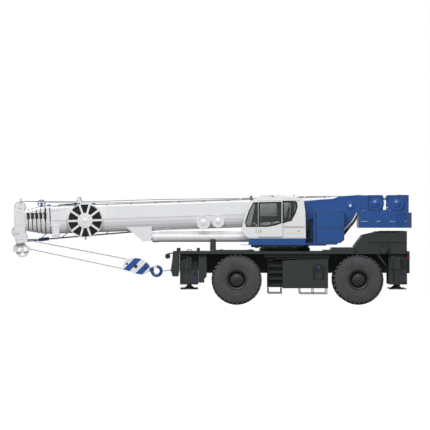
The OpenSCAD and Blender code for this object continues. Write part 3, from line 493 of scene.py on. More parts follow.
def grow_tread(tree, given):
    """Two crossed sets of raised bars on one plate, as on chequer plate."""
    both = add(tree, "GeometryNodeJoinGeometry")
    for step, angle in ((0.0, 45.0), (0.5, -45.0)):
        grid = add(tree, "GeometryNodeMeshGrid")
        for label, share in (("Size X", "Length"), ("Size Y", "Width")):
            tree.links.new(given[share], grid.inputs[label])
        tree.links.new(given["Rows along"], grid.inputs["Vertices X"])
        tree.links.new(given["Rows across"], grid.inputs["Vertices Y"])
        shift = add(tree, "ShaderNodeVectorMath", {"operation": "SCALE"}, Vector=given["Pitch"], Scale=step)
        moved = add(tree, "GeometryNodeTransform", Geometry=grid.outputs[0], Translation=shift.outputs[0])
        bar = add(tree, "GeometryNodeMeshCube", Size=given["Bar"])
        spots = add(tree, "GeometryNodeInstanceOnPoints", Points=moved.outputs[0], Instance=bar.outputs[0],
                    Rotation=(0.0, 0.0, math.radians(angle)))
        tree.links.new(spots.outputs[0], both.inputs[0])
    return both.outputs[0]


bolt_ring = growing_tree("bolt_ring", {"Count": 12, "Ring radius": 100.0, "Bolt radius": 12.0,
                                       "Bolt height": 16.0}, grow_bolts)
part_row = growing_tree("part_row", {"Count": 4, "Start": (0.0, 0.0, 0.0), "End": (1.0, 0.0, 0.0),
                                     "Size": (10.0, 10.0, 10.0), "Tilt": (0.0, 0.0, 0.0)}, grow_row)
rope_coil = growing_tree("rope_coil", {"Turns": 10.0, "Inner radius": 200.0, "Outer radius": 200.0,
                                       "Width": 400.0, "Rope radius": 13.0}, grow_coil)
tread_plate = growing_tree("tread_plate", {"Length": 1000.0, "Width": 500.0, "Rows along": 8,
                                           "Rows across": 4, "Pitch": (100.0, 100.0, 0.0),
                                           "Bar": (60.0, 14.0, 5.0)}, grow_tread)

facing_left = Matrix.Rotation(math.radians(90), 4, "X")      # turns Z to -Y, out of the machine's left side
facing_right = Matrix.Rotation(math.radians(-90), 4, "X")

# Places, in millimetres in the machine's frame, or in the boom's own where it says so
pivot_x, pivot_z, boom_slope = 5200, 3700, math.radians(-1.9)
reel_x, reel_z = -9935, -230            # the cable reel's middle, in the boom's frame
drum_xs, drum_z = (6150, 6950), 3780    # the two winch drums
wheel_z, tyre_middle = 937.5, 1282.5    # the hubs' height, and how far out the tyres' middles are
corners = (("fl", 945, -1), ("fr", 945, 1), ("rl", 5475, -1), ("rr", 5475, 1))
boom_frame = Matrix.Translation((pivot_x, 0, pivot_z)) @ Matrix.Rotation(boom_slope, 4, "Y")


def bolts_at(name, spots, count, ring, size, height, finish, body, base=None):
    """Rings of hexagon bolts around several centres that face along Y; one plain mesh for them all."""
    parts = []
    for number, (x, y, z) in enumerate(spots):
        turn = facing_left if y < 0 else facing_right
        place = (base or Matrix.Identity(4)) @ Matrix.Translation((x, y, z)) @ turn
        parts.append(grown("%s_%d" % (name, number), bolt_ring, finish, None, None, place, Count=count,
                           Ring_radius=float(ring), Bolt_radius=float(size), Bolt_height=float(height)))
    return together(name, parts, finish, body)


def together(name, parts, finish, body):
    """Joins pieces that ride together into one."""
    joined = bmesh.new()
    for part in parts:
        joined.from_mesh(part.data)
        bpy.data.objects.remove(part)
    mesh = bpy.data.meshes.new(name)
    joined.to_mesh(mesh)
    joined.free()
    return placed(name, mesh, finish, body)


# Boom

def section_outline(d):
    """Cross section of the boom, drawn in by d, as (y, z) in the boom's frame."""
    h, top, deep, c = 350 - d, 350 - d, 510 - d, 70
    turn = [math.radians(t) for t in range(75, -1, -15)]
    right = [(h * math.cos(t), -190 - deep * math.sin(t)) for t in turn]
    left = [(-h * math.cos(t), -190 - deep * math.sin(t)) for t in reversed(turn)]
    return right + [(h, top - c), (h - c, top), (c - h, top), (-h, top - c)] + left


def cheek_line(half, deep, out, top, low):
    """The left side of a section from top down to the angle low below the seam, out millimetres proud."""
    turn = [math.radians(low * i / 5) for i in range(6)]
    curve = [(-(half + out) * math.cos(t), -190 - (deep + out) * math.sin(t)) for t in turn]
    return [(-half - out, top)] + curve


# A black strip standing proud on the boom's lower curve: painted shadow of the gap between one section's
# collar and the next
def painted_gap_shade_strip(form, x0, x1, half, deep, top, low, out=7.0):
    outer = cheek_line(half, deep, out, top, low)
    inner = cheek_line(half, deep, -3.0, top, low)
    return form.slab(outer + inner[::-1], x0, x1, axis="X")


# A low ridge along the plates' seam on each side of the boom; its grey is painted shade along the seam line
seams = Form(boom_frame)
for x0, x1 in ((-11300, -10100), (-9770, -640)):
    seams.block((x0, -357, -197), (x1, -348, -185), 1)
seams.made("boom_weld_seam_ridges_and_shade", seam_grey, "boom_base", "white_paint", both=True)

ribs = Form(boom_frame)
for x0, x1 in ((-11425, -11385), (-11260, -11225), (-2300, -2270)):
    ribs.ring_frame(section_outline(-12), section_outline(3), x0, x1, axis="X")
ribs.block((-11225, -362, 180), (-10860, -346, 240), 4)
for x in (-8650, -7350, -2800, -960):
    ribs.block((x - 60, -356, 60), (x + 60, -347, 250), 3)
ribs.made("boom_base_ribs", white, "boom_base", "white_paint", both=True)

mouths = [(-11430, 350, "boom_base", 0), (-11588, 341, "section_2", 1), (-11746, 307, "section_3", 1),
          (-11904, 273, "section_4", 0), (-12062, 239, "section_5", 0)]
for number, (x, half, body, upper) in enumerate(mouths):
    deep = half + 160
    pads_and_gap_shade = Form(boom_frame)
    pads_and_gap_shade.block((x - 46, -half - 30, -95), (x + 60, -half + 2, 100), 8)
    pads_and_gap_shade.block((x - 18, -half - 44, -60), (x + 34, -half - 28, 66), 6)
    pads_and_gap_shade.block((x - 70, -half - 22, 92), (x + 34, -half + 2, 128), 6)
    # the black strip down the lower curve is painted shadow of the gap between collars, not a part
    painted_gap_shade_strip(pads_and_gap_shade, x - 16, x + 14, half, deep, -90, 56)
    pads_and_gap_shade.block((x - 30, -half + 60, half - 3), (x + 40, half - 60, half + 16), 5)
    # the thin black strip above the pad is painted shadow of the same gap, above the seam
    if upper or number == 0:
        pads_and_gap_shade.block((x - 14, -half - 8, 150), (x + 12, -half + 2, half - 76), 2)
    pads_and_gap_shade.made("wear_pads_and_gap_shade_%d" % (number + 1), black, body, "black_paint", both=True)
    bolts_at("pad_bolts_%d" % (number + 1), [(x + 8, s * (half + 46), 4) for s in (-1, 1)], 4, 40, 9, 10,
             steel, body, boom_frame)

for number, x in enumerate((-11588, -11746, -11904, -12062, -12220)):
    d = 34 * (number + 1) - 25
    collar = Form(boom_frame)
    collar.ring_frame(section_outline(d - 8), section_outline(d + 2), x + 60, x + 74, axis="X")
    collar.ring_frame(section_outline(d - 8), section_outline(d + 2), x + 132, x + 146, axis="X")
    collar.made("collar_ribs_%d" % (number + 2), white, "section_%d" % (number + 2), "white_paint")

top_gear = Form(boom_frame)
for x in (-8900, -6600, -4100, -1700):
    top_gear.block((x - 60, -310, 345), (x + 60, -200, 362), 3)
    top_gear.block((x - 26, -290, 358), (x + 26, -282, 420), 3)
    top_gear.block((x - 26, -228, 358), (x + 26, -220, 420), 3)
for x in (-10700, -3900):
    top_gear.block((x - 90, 60, 345), (x + 90, 200, 372), 4)
top_gear.made("boom_rope_guides", white, "boom_base", "white_paint")
rollers = Form(boom_frame)
for x in (-8900, -6600, -4100, -1700):
    rollers.turned((x, 0, 396), [(0, -284), (16, -284), (16, -278), (11, -270), (11, -240), (16, -232),
                                 (16, -226), (0, -226)], steps=16)
rollers.turned((-10145, 0, 585), [(0, -466), (66, -466), (66, -456), (44, -444), (44, -430), (66, -418),
                                  (66, -408), (0, -408)], steps=28)
rollers.turned((-10040, 0, 500), [(0, -466), (50, -466), (50, -456), (34, -444), (34, -430), (50, -418),
                                  (50, -408), (0, -408)], steps=24)
rollers.made("boom_guide_rollers", seam_grey, "boom_base", "cab_trim")

conduit = Form(boom_frame)
conduit.pipe([(-11200, -300, 362), (-9000, -300, 362), (-4000, -300, 362), (-700, -300, 362)], 13)
conduit.pipe([(-10100, -330, 330), (-10100, -372, 300), (-10100, -372, -40), (-9990, -362, -150)], 11,
             smooth=2)
conduit.made("boom_conduit", steel, "boom_base", "steel")
grown("conduit_clamps", part_row, black, "boom_base", "black_paint", boom_frame, Count=12,
      Start=(-10900, -300, 358), End=(-950, -300, 358), Size=(36.0, 60.0, 34.0))

bracket_lid = Form(boom_frame)
bracket_lid.block((-11170, -410, -790), (-10920, -398, -400), 6)
bracket_lid.block((-11150, -424, -560), (-11120, -408, -480), 4)
bracket_lid.block((-11060, -412, -860), (-11030, -200, -800), 4)
bracket_lid.pipe([(-11045, -300, -830), (-11045, -300, -930)], 14)
bracket_lid.made("boom_side_box", white, "boom_base", "white_paint")
bolts_at("side_box_bolts", [(-11045, -412, -595)], 4, 150, 9, 8, steel, "boom_base", boom_frame)

covers = Form(boom_frame)
for x, z, r in ((-5515, -455, 255), (-4965, -425, 240)):
    covers.turned((x, 0, z), [(0, -402), (r * 0.42, -402), (r * 0.46, -396), (r * 0.46, -389), (0, -389)])
    covers.turned((x, 0, z), [(r - 26, -398), (r - 4, -398), (r - 4, -388), (r - 26, -388)])
    covers.block((x - 60, -396, z - r + 8), (x + 60, -388, z - r + 44), 3)
covers.made("round_cover_rims", white, "boom_base", "white_paint")
bolts_at("cover_bolts", [(-5515, -392, -455), (-4965, -392, -425)], 10, 196, 9, 12, steel, "boom_base",
         boom_frame)

foot = Form(boom_frame)
foot.turned((0, 0, 0), [(0, -484), (118, -484), (128, -476), (128, -469), (0, -469)], steps=40)
foot.made("boom_foot_covers", blue, "boom_base", "blue_paint", both=True)
pin = Form(boom_frame)
pin.turned((0, 0, 0), [(0, -494), (44, -494), (50, -488), (50, -483), (0, -483)], steps=28)
pin.made("boom_foot_pin_ends", white, "boom_base", "white_paint", both=True)

# Boom head

head_gear = Form(boom_frame)
for x, z, r in ((-12365, 352, 72), (-12485, -570, 88)):
    head_gear.turned((x, 0, z), [(0, -322), (r * 0.55, -322), (r * 0.6, -314), (r, -312), (r, -299),
                                 (0, -299)])
for outline in ([(-12560, -830), (-12270, -860), (-12200, -700), (-12230, -330), (-12555, -330)],
                [(-12560, -280), (-12250, -280), (-12230, 60), (-12300, 200), (-12545, 180)]):
    head_gear.ring_frame(outline, inset(outline, 26), -309, -299)
head_gear.block((-12590, -306, -958), (-12140, -299, -930), 2)
head_gear.made("head_side_gear", white, "section_6", "white_paint", both=True)
head_rods = Form(boom_frame)
for x, z in ((-12576, -700), (-12576, -450), (-12560, 120), (-12300, 400), (-12480, 300), (-12150, -900)):
    head_rods.pipe([(x, -262, z), (x, 262, z)], 13)
head_rods.made("head_rope_guards", steel, "section_6", "steel")
lower_gear = Form(boom_frame)
lower_gear.turned((-12335, 0, -1287), [(0, -122), (44, -122), (50, -114), (84, -112), (84, -99), (0, -99)])
lower_gear.turned((-12070, 0, -1225), [(0, -116), (26, -116), (30, -110), (30, -99), (0, -99)], steps=20)
lower_gear.block((-12420, -108, -1032), (-12290, -99, -1000), 3)
lower_gear.made("lower_bracket_gear", white, "section_6", "white_paint", both=True)
bolts_at("head_bolts", [(-12365, -314, 352), (-12485, -314, -570), (-12365, 314, 352), (-12485, 314, -570)],
         8, 62, 7, 9, steel, "section_6", boom_frame)
grooves = Form(boom_frame)
for y in (-80, 0, 80):
    grooves.turned((-12365, y, 352), [(203, -30), (212, -26), (196, 0), (212, 26), (203, 30), (188, 20),
                                      (188, -20)])
grooves.made("nose_sheave_flanges", steel, "nose_sheave", "steel")
grooves = Form(boom_frame)
for y in range(-200, 201, 80):
    grooves.turned((-12485, y, -570), [(217, -30), (222, -26), (208, 0), (222, 26), (217, 30), (200, 20),
                                       (200, -20)])
grooves.made("main_sheave_flanges", steel, "main_sheaves", "steel")
grooves = Form(boom_frame)
grooves.turned((-12335, 0, -1287), [(236, -34), (246, -30), (228, 0), (246, 30), (236, 34), (196, 27),
                                    (196, -27)])
grooves.made("lower_sheave_flanges", white, "aux_sheave", "white_paint")
mast = Form(boom_frame)
mast.pipe([(-12340, -180, 420), (-12340, -180, 660)], 10)
mast.pipe([(-12340, -180, 640), (-12300, -180, 668), (-12260, -180, 640)], 8)
mast.turned((-12340, -180, 0), [(0, 648), (26, 650), (30, 664), (20, 676), (0, 680)], axis="Z", steps=20)
mast.block((-12372, -206, 425), (-12308, -154, 440), 3)
mast.made("wind_sensor_mast", seam_grey, "section_6", "cab_trim")

# Fly jib, stowed on the boom's right side

jib = Form(boom_frame)
pulley_x, pulley_z, pulley_radius = -11570, 460, 150
jib.turned((pulley_x, 440, pulley_z), [(pulley_radius - 34, -22), (pulley_radius, -30), (pulley_radius, 30),
                                       (pulley_radius - 34, 22)])
jib.turned((pulley_x, 440, pulley_z), [(0, -34), (40, -34), (40, 34), (0, 34)], steps=20)
for turn in range(6):
    c, s = math.cos(turn * math.tau / 6), math.sin(turn * math.tau / 6)
    jib.pipe([(pulley_x + 30 * c, 440, pulley_z + 30 * s),
              (pulley_x + (pulley_radius - 25) * c, 440, pulley_z + (pulley_radius - 25) * s)], 12, 8)
jib.slab([(-11620, -240), (-11520, -240), (-11530, 460), (-11610, 460)], 400, 424)
jib.slab([(-11390, -230), (-11210, -230), (-11230, 430), (-11390, 400)], 415, 465, soft=6)
jib.block((-10730, 370, 352), (-10230, 420, 420), 8)
jib.block((-9680, 370, 356), (-9540, 420, 424), 8)
jib.slab([(-10730, 370), (-10690, 370), (-10600, -190), (-10680, -190)], 400, 424)
jib.slab([(-9660, 370), (-9620, 370), (-9620, -190), (-9700, -190)], 400, 424)
jib.slab([(-11720, -872), (-11700, -930), (-12150, -955), (-12230, -930), (-12230, -870), (-12150, -850)],
         410, 470, soft=8)
jib.turned((-12190, 0, -905), [(26, 400), (62, 400), (62, 480), (26, 480)])
jib.slab([(-11720, -960), (-11330, -930), (-11330, -800), (-11720, -830)], 405, 475, soft=10)
jib.made("fly_jib_fittings", blue, "boom_base", "blue_paint")

# Cable reel

hub = Form(boom_frame)
hub.turned((reel_x, 0, reel_z), [(0, -524), (70, -524), (82, -518), (100, -516), (250, -516), (262, -514),
                                 (282, -500),
                              (282, -488), (0, -488)], steps=64)
hub.turned((reel_x, 0, reel_z), [(640, -494), (652, -488), (652, -388), (640, -384), (632, -392),
                                 (632, -488)], steps=96)
hub.made("reel_hub_cover", white, "cable_reel", "white_paint")
bolts_at("reel_hub_bolts", [(reel_x, -519, reel_z)], 10, 225, 9, 10, steel, "cable_reel",
         boom_frame)
grown("reel_cable_turns", rope_coil, reel_rubber, "cable_reel", "cable_rubber",
      boom_frame @ Matrix.Translation((reel_x, -468, reel_z)) @ facing_left, Turns=9.4, Inner_radius=292.0,
      Outer_radius=596.0, Width=1.0, Rope_radius=15.0)
reel_stand = Form(boom_frame)
reel_stand.slab([(-10030, -380), (-9840, -380), (-9870, -700), (-10000, -700)], -368, -349, soft=4)
reel_stand.turned((reel_x, 0, reel_z), [(86, -378), (150, -378), (160, -370), (160, -349), (86, -349)])
reel_stand.block((-9965, -400, -960), (-9905, -349, -690), 6)
reel_stand.made("reel_stand", white, "boom_base", "white_paint")
lead = Form(boom_frame)
lead.pipe([(-10400, -437, 165), (-10300, -437, 330), (-10215, -437, 480), (-10190, -437, 590),
           (-10145, -437, 650), (-10080, -437, 640), (-10045, -437, 560), (-10090, -420, 470),
           (-10400, -330, 400), (-10900, -270, 392)],
          15, smooth=2)
lead.made("reel_cable_lead", reel_rubber, "boom_base", "cable_rubber")

# Ropes

hoist = Form()
hoist.pipe([(-7170, 0, 3868), (-6000, 0, 3850), (-4915, 0, 3848), (-4000, 0, 3868), (-2000, 0, 3930),
            (0, 0, 3955), (1400, 0, 3978), (2500, 0, 4010), (3500, 0, 4042), (4800, 0, 4052)], 13, smooth=1)
hoist_rope = hoist.made("hoist_rope", rope_steel, None, "steel")
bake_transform(hoist_rope)
tail = Form()
tail.pipe([(4800, 0, 4052), (5200, 0, 4046), (5500, 0, 4040), (5800, 0, 4032), (6120, 0, 4022)], 13, smooth=1)
tail_rope = tail.made("hoist_rope_to_winch", rope_steel, None, "steel")
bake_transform(tail_rope)
second = Form()
second.pipe([(-7170, -160, 3868), (-5500, -190, 3810), (-4000, -215, 3800), (-800, -250, 3880),
             (1400, -230, 3955), (3500, -180, 4030), (4800, -120, 4046)], 11, smooth=1)
second_rope = second.made("second_hoist_rope", rope_steel, None, "steel")
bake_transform(second_rope)

for name, x in zip(("main_drum", "aux_drum"), drum_xs):
    grown(name + "_rope", rope_coil, rope_steel, name, "steel",
          Matrix.Translation((x, 318, drum_z)) @ facing_left, Turns=24.0, Inner_radius=222.0,
          Outer_radius=222.0, Width=636.0, Rope_radius=13.0)

tie = Form()
tie.pipe([(-1860, -494, 1262), (-1700, -500, 1262), (-1512, -505, 1290)], 14)
tie.block((-1530, -545, 1255), (-1470, -465, 1330), 6)
tie.made("hook_tie", rope_steel, "carrier", "steel")


# Hook block: the same turns as the solid's, in the machine's frame

head_x, yaw, tilt = -7259.24, math.radians(5.6), math.radians(11.8)
block_frame = (Matrix.Translation((head_x, 0, 0)) @ Matrix.Rotation(-yaw, 4, "Z")
               @ Matrix.Translation((-2019 - head_x, 0, 1257)) @ Matrix.Rotation(tilt, 4, "Y"))
block_gear = Form(block_frame)
for x, z, r in ((-790, 20, 66), (-430, 40, 46), (-1130, 40, 40)):
    block_gear.turned((x, 0, z), [(0, -186), (r * 0.6, -186), (r * 0.7, -178), (r, -176), (r, -158),
                                  (0, -158)], steps=24)
block_gear.made("hook_block_pins", navy, "section_6", "blue_paint", both=True)
edge = [(-1262, -42), (-1240, 100), (-1126, 225), (-960, 285), (-787, 320), (-566, 295), (-420, 215),
        (-288, 113), (-255, 26), (-270, -60), (-378, -145), (-502, -243), (-809, -259), (-1109, -202),
        (-1230, -130)]
rim = Form(block_frame)
rim.ring_frame(edge, [((x + 740) * 0.955 - 740, (z - 20) * 0.93 + 20) for x, z in edge], -167, -159)
rim.made("hook_block_plate_edges", block_stripes, "section_6", "white_paint", both=True)
latch = Form(block_frame)
latch.pipe([(-250, 0, 44), (-180, 0, 120), (-60, 0, 150), (30, 0, 140)], 15, smooth=1)
latch.turned((-212, 0, 30), [(0, -72), (24, -72), (24, 72), (0, 72)], steps=16)
latch.made("hook_latch", steel, "hook", "steel")


# Cab

windows = {"front": [(1330, 2940), (1700, 2940), (1700, 3790), (1590, 3780), (1430, 3500), (1290, 3080)],
           "rear": [(2700, 3100), (2960, 3180), (3100, 3450), (3160, 3650), (3150, 3790), (3090, 3830),
                    (2700, 3830)],
           "door": [(1810, 2960), (2100, 2960), (2400, 3020), (2560, 3080), (2560, 3790), (1810, 3770)],
           "right": [(1500, 3050), (3100, 3150), (3100, 3800), (1650, 3800)]}
cab_seals = Form()
for key, wide in (("front", 40), ("rear", 52)):
    cab_seals.ring_frame(inset(windows[key], -wide), inset(windows[key], 7), -1602, -1591)
cab_seals.ring_frame(inset(windows["right"], -30), inset(windows["right"], 7), -726, -715)
cab_seals.made("cab_window_seals", seal_rubber, "superstructure", "cab_trim")
door_seals = Form()
door_seals.ring_frame(inset(windows["door"], -56), inset(windows["door"], 7), -1650, -1635)
door_seals.made("door_window_seal", seal_rubber, "cab_door", "cab_trim")

frame_edges = Form()
frame_edges.block((1246, -1520, 2985), (1290, -792, 3035), 6)
pillar = [(1185, 2990), (1262, 3250), (1352, 3500), (1492, 3800), (1560, 3880), (1600, 3880), (1530, 3800),
          (1392, 3500), (1302, 3250), (1222, 2990)]
frame_edges.slab(pillar, -1526, -1500)
frame_edges.slab(pillar, -820, -794)
frame_edges.block((3488, -1500, 3080), (3506, -820, 3106), 3)
frame_edges.block((3450, -1500, 3744), (3466, -820, 3770), 3)
frame_edges.block((2660, -1602, 2890), (3480, -1598, 2914), 1)
frame_edges.block((1700, -1602, 3868), (3300, -1598, 3880), 1)
frame_edges.made("cab_rails_and_pillar_seals", seal_rubber, "superstructure", "cab_trim")

cab_gear = Form()
cab_gear.block((3212, -1602, 2732), (3296, -1590, 2764), 3)
cab_gear.pipe([(3560, -1560, 2700), (3560, -1590, 2720), (3560, -1590, 3700), (3560, -1560, 3720)], 12,
              smooth=1)
cab_gear.pipe([(1800, -1420, 4036), (1840, -1420, 4058), (2300, -1420, 4060), (2690, -1420, 4052)], 9,
              smooth=1)
cab_gear.block((2240, -1436, 4026), (2330, -1404, 4062), 5)
cab_gear.pipe([(1496, -1480, 3890), (1472, -1500, 3990), (1486, -1500, 4020)], 10, smooth=1)
cab_gear.turned((1490, -1500, 4034), [(0, -30), (34, -30), (40, -20), (40, 16), (22, 34), (0, 36)],
                axis="X", steps=24)
cab_gear.pipe([(1470, -900, 3860), (1440, -880, 3960), (1480, -870, 4000)], 9, smooth=1)
cab_gear.turned((1470, -870, 4004), [(0, -26), (30, -26), (36, -18), (36, 14), (0, 32)], axis="X", steps=24)
cab_gear.pipe([(1210, -1200, 3020), (1300, -1190, 3270), (1420, -1180, 3520)], 8)
cab_gear.pipe([(1190, -1160, 2960), (1180, -1180, 3010), (1210, -1200, 3020)], 10)
cab_gear.made("cab_handles_wipers_lamps", trim, "superstructure", "cab_trim")

roof = Form()
roof.slab([(2205, -1430), (2880, -1430), (2900, -1400), (2900, -900), (2880, -880), (2205, -880),
           (2190, -900), (2190, -1400)], 4018, 4072, axis="Z", soft=14)
roof.slab([(2300, -1360), (2810, -1360), (2810, -950), (2300, -950)], 4070, 4092, axis="Z", soft=8)
roof.block((2960, -1300, 4010), (3200, -1000, 4050), 10)
roof.made("cab_roof_hatch", white, "superstructure", "white_paint")
vents = Form()
for z in range(4046, 4066, 9):
    vents.block((2190 - 4, -1380, z), (2190 + 3, -920, z + 4))
for z in (2600, 2640, 2680, 2720):
    vents.block((3516, -1450, z), (3526, -900, z + 14))
vents.made("cab_vents", black, "superstructure", "black_paint")
beacon = Form()
beacon.turned((3080, -1150, 0), [(0, 4050), (44, 4050), (44, 4062), (38, 4092), (26, 4102), (0, 4106)],
              axis="Z", steps=28)
beacon.made("warning_lamp", amber_lens, "superstructure", "cab_trim")

door_gear = Form()
for z in (2832, 2660):
    door_gear.block((1800, -1651, z), (2580, -1645, z + 10), 2)
door_gear.ring_frame([(1742, 2542), (2638, 2542), (2638, 3848), (1742, 3848)],
                     [(1756, 2556), (2624, 2556), (2624, 3834), (1756, 3834)], -1650, -1644)
door_gear.made("door_pressed_lines", white, "cab_door", "white_paint")
grip = Form()
grip.ring_frame([(1762, 2690), (1872, 2690), (1872, 2840), (1762, 2840)],
                [(1770, 2698), (1864, 2698), (1864, 2832), (1770, 2832)], -1652, -1644)
grip.block((1780, -1664, 2740), (1856, -1652, 2780), 5)
grip.made("door_handle", seam_grey, "cab_door", "cab_trim")
grab = Form()
grab.pipe([(1668, -1602, 2700), (1668, -1640, 2716), (1668, -1640, 2834), (1668, -1602, 2850)], 9, smooth=1)
grab.made("cab_grab_handle", seam_grey, "superstructure", "cab_trim")
skirt = Form()
skirt.block((1260, -1602, 2500), (3500, -1598, 2512), 2)
skirt.block((2690, -1602, 2512), (2702, -1598, 3040), 2)
skirt.block((2760, -1602, 2660), (3440, -1598, 2670), 2)
skirt.block((2760, -1602, 2832), (3440, -1598, 2842), 2)
skirt.made("cab_panel_lines", seam_grey, "superstructure", "white_paint")

seat = Form()
seat.cushion((2260, -1400, 2820), (2820, -920, 2985), 0.22)
lower_pad = seat.made("seat_cushion", seat_cloth, "superstructure", "cab_trim")
back = Form(Matrix.Translation((2800, -1160, 2985)) @ Matrix.Rotation(math.radians(8.9), 4, "Y"))
back.cushion((-60, -230, 0), (60, 230, 640), 0.24)
back_pad = back.made("seat_back", seat_cloth, "superstructure", "cab_trim")
for pad in (lower_pad, back_pad):
    smoothing = pad.modifiers.new("smoothing", "SUBSURF")
    smoothing.levels = smoothing.render_levels = 1
controls = Form()
controls.block((2350, -1360, 2525), (2800, -960, 2700), 20)
controls.slab([(2360, 2690), (2790, 2690), (2740, 2830), (2400, 2830)], -1340, -980, soft=12)
for y in (-1460, -900):
    controls.block((2180, y - 55, 2640), (2760, y + 55, 2960), 26)
    controls.pipe([(2260, y, 2950), (2240, y, 3080)], 11)
    controls.turned((2238, y, 0), [(0, 3075), (26, 3080), (32, 3110), (24, 3140), (0, 3146)], axis="Z",
                    steps=20)
controls.slab([(1450, 2525), (1700, 2525), (1660, 2900), (1560, 3060), (1470, 3030)], -1400, -920, soft=16)
controls.pipe([(1620, -1160, 2960), (1790, -1160, 3190)], 26)
wheel_frame = Matrix.Translation((1800, -1160, 3205)) @ Matrix.Rotation(math.radians(-34), 4, "Y")
steering_radius = 185
ring = [wheel_frame @ Vector((0, steering_radius * math.cos(i * math.tau / 32),
                              steering_radius * math.sin(i * math.tau / 32))) for i in range(33)]
controls.pipe(ring, 16, 8)
for turn in (90, 210, 330):
    c, s = math.cos(math.radians(turn)), math.sin(math.radians(turn))
    controls.pipe([wheel_frame @ Vector((0, 0, 0)), wheel_frame @ Vector((0, 178 * c, 178 * s))], 13, 8)
controls.slab([(1640, 3120), (1690, 3110), (1740, 3420), (1700, 3430)], -900, -790, soft=6)
seat_base = controls.made("seat_base_and_controls", trim, "superstructure", "cab_trim")
for piece in (seat_base, lower_pad, back_pad):
    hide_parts("cab_interior")


# Superstructure

hood_face = [(3925, 2330), (4790, 2330), (4935, 2440), (4935, 3455), (3925, 3455)]
panels = Form()
panels.slab(hood_face, -1558, -1548, soft=3)
panels.slab([(2250, 2330), (3420, 2330), (3420, 3070), (2530, 3070), (2250, 2790)], 1448, 1458, soft=3)
panels.slab([(3470, 2330), (4660, 2330), (4660, 3070), (3470, 3070)], 1448, 1458, soft=3)
panels.block((3800, -1540, 2300), (3885, -1480, 3390), 6)
panels.block((3800, -1480, 3300), (3885, -450, 3390), 6)
panels.slab([(3560, 2300), (3860, 2300), (3860, 3180), (3780, 3220), (3600, 3100)], -930, -900, soft=4)
panels.block((5510, -1462, 2900), (6880, -1448, 3080), 3)
panels.block((5510, -1462, 3140), (6880, -1448, 3410), 3)
panels.block((5510, 1448, 2900), (6880, 1462, 3080), 3)
panels.block((5510, 1448, 3140), (6880, 1462, 3410), 3)
panels.block((7468, -960, 2920), (7480, 960, 3390), 3)
for x in (5700, 6700):
    for y in (-1100, 1100):
        panels.pipe([(x - 60, y, 3436), (x - 60, y, 3490), (x, y, 3530), (x + 60, y, 3490),
                     (x + 60, y, 3436)], 16, smooth=1)
panels.made("blue_panels", blue, "superstructure", "blue_paint")
dashes = Form()
for x0, x1 in ((5576, 5858), (6139, 6303), (6631, 6860)):
    dashes.block((x0, -1468, 3108), (x1, -1460, 3122), 2)
dashes.block((7217, -1362, 3108), (7280, -1330, 3122), 2)
dashes.made("counterweight_marks", pale_mark, "superstructure", "white_paint")
gaps = Form()
gaps.ring_frame(inset(hood_face, -16), inset(hood_face, 3), -1553, -1547)
gaps.block((3925, -1562, 2890), (4935, -1557, 2900))
gaps.block((4425, -1562, 2330), (4435, -1557, 2890))
for x in (4010, 4370, 4500, 4860):
    gaps.block((x - 26, -1572, 2850), (x + 26, -1556, 2876), 4)
for z in (2480, 3300):
    gaps.block((3905, -1566, z), (3935, -1552, z + 90), 4)
for x in (2700, 3300, 3600, 4500):
    gaps.block((x - 26, 1456, 2980), (x + 26, 1472, 3010), 4)
gaps.made("hood_gaps_and_latches", trim, "superstructure", "cab_trim")
louvres = [grown("hood_louvres_%d" % n, part_row, black, None, None, Count=18, Start=(x, 1461.0, 2420.0),
                 End=(x, 1461.0, 2900.0), Size=(wide, 24.0, 9.0), Tilt=(0.6, 0.0, 0.0))
           for n, (x, wide) in enumerate(((2850.0, 900.0), (4060.0, 1000.0)))]
together("right_hood_louvres", louvres, black, "superstructure")

valves = Form()
valves.block((3560, -1300, 2740), (3700, -960, 3050), 10)
valves.block((3540, -1260, 2780), (3720, -1000, 2860), 8)
for z in (2800, 2880, 2960):
    valves.turned((3630, 0, z), [(0, -1350), (30, -1350), (34, -1340), (34, -1300), (0, -1300)], steps=16)
for y in (-1240, -1130, -1020):
    valves.pipe([(3630, y, 3040), (3640, y, 3150), (3720, y + 40, 3210), (3860, y + 60, 3140)], 18,
                smooth=2)
    valves.pipe([(3600, y, 2745), (3590, y, 2600), (3680, y + 30, 2440), (3860, y + 50, 2400)], 18,
                smooth=2)
valves.block((3600, -1200, 2300), (3660, -1060, 2745), 4)
valves.made("valve_block_and_hoses", black, "superstructure", "black_paint")
hoses = Form()
for y, lift in ((-520, 0), (-620, -40)):
    hoses.pipe([(4900, y, 2600 + lift), (5010, y, 2700 + lift), (5150, y, 2900 + lift),
                (5300, y, 3060 + lift), (5420, y, 3240 + lift), (5460, y, 3400)], 26, smooth=2)
hoses.made("black_hoses", black, "superstructure", "black_paint")
pale_hoses = Form()
for y, lift in ((-570, 60), (-650, 110)):
    pale_hoses.pipe([(4920, y, 2660 + lift), (5060, y, 2790 + lift), (5200, y, 2920 + lift),
                     (5320, y, 3080 + lift), (5400, y, 3220 + lift), (5440, y, 3420)], 24, smooth=2)
pale_hoses.made("pale_hoses", white, "superstructure", "white_paint")

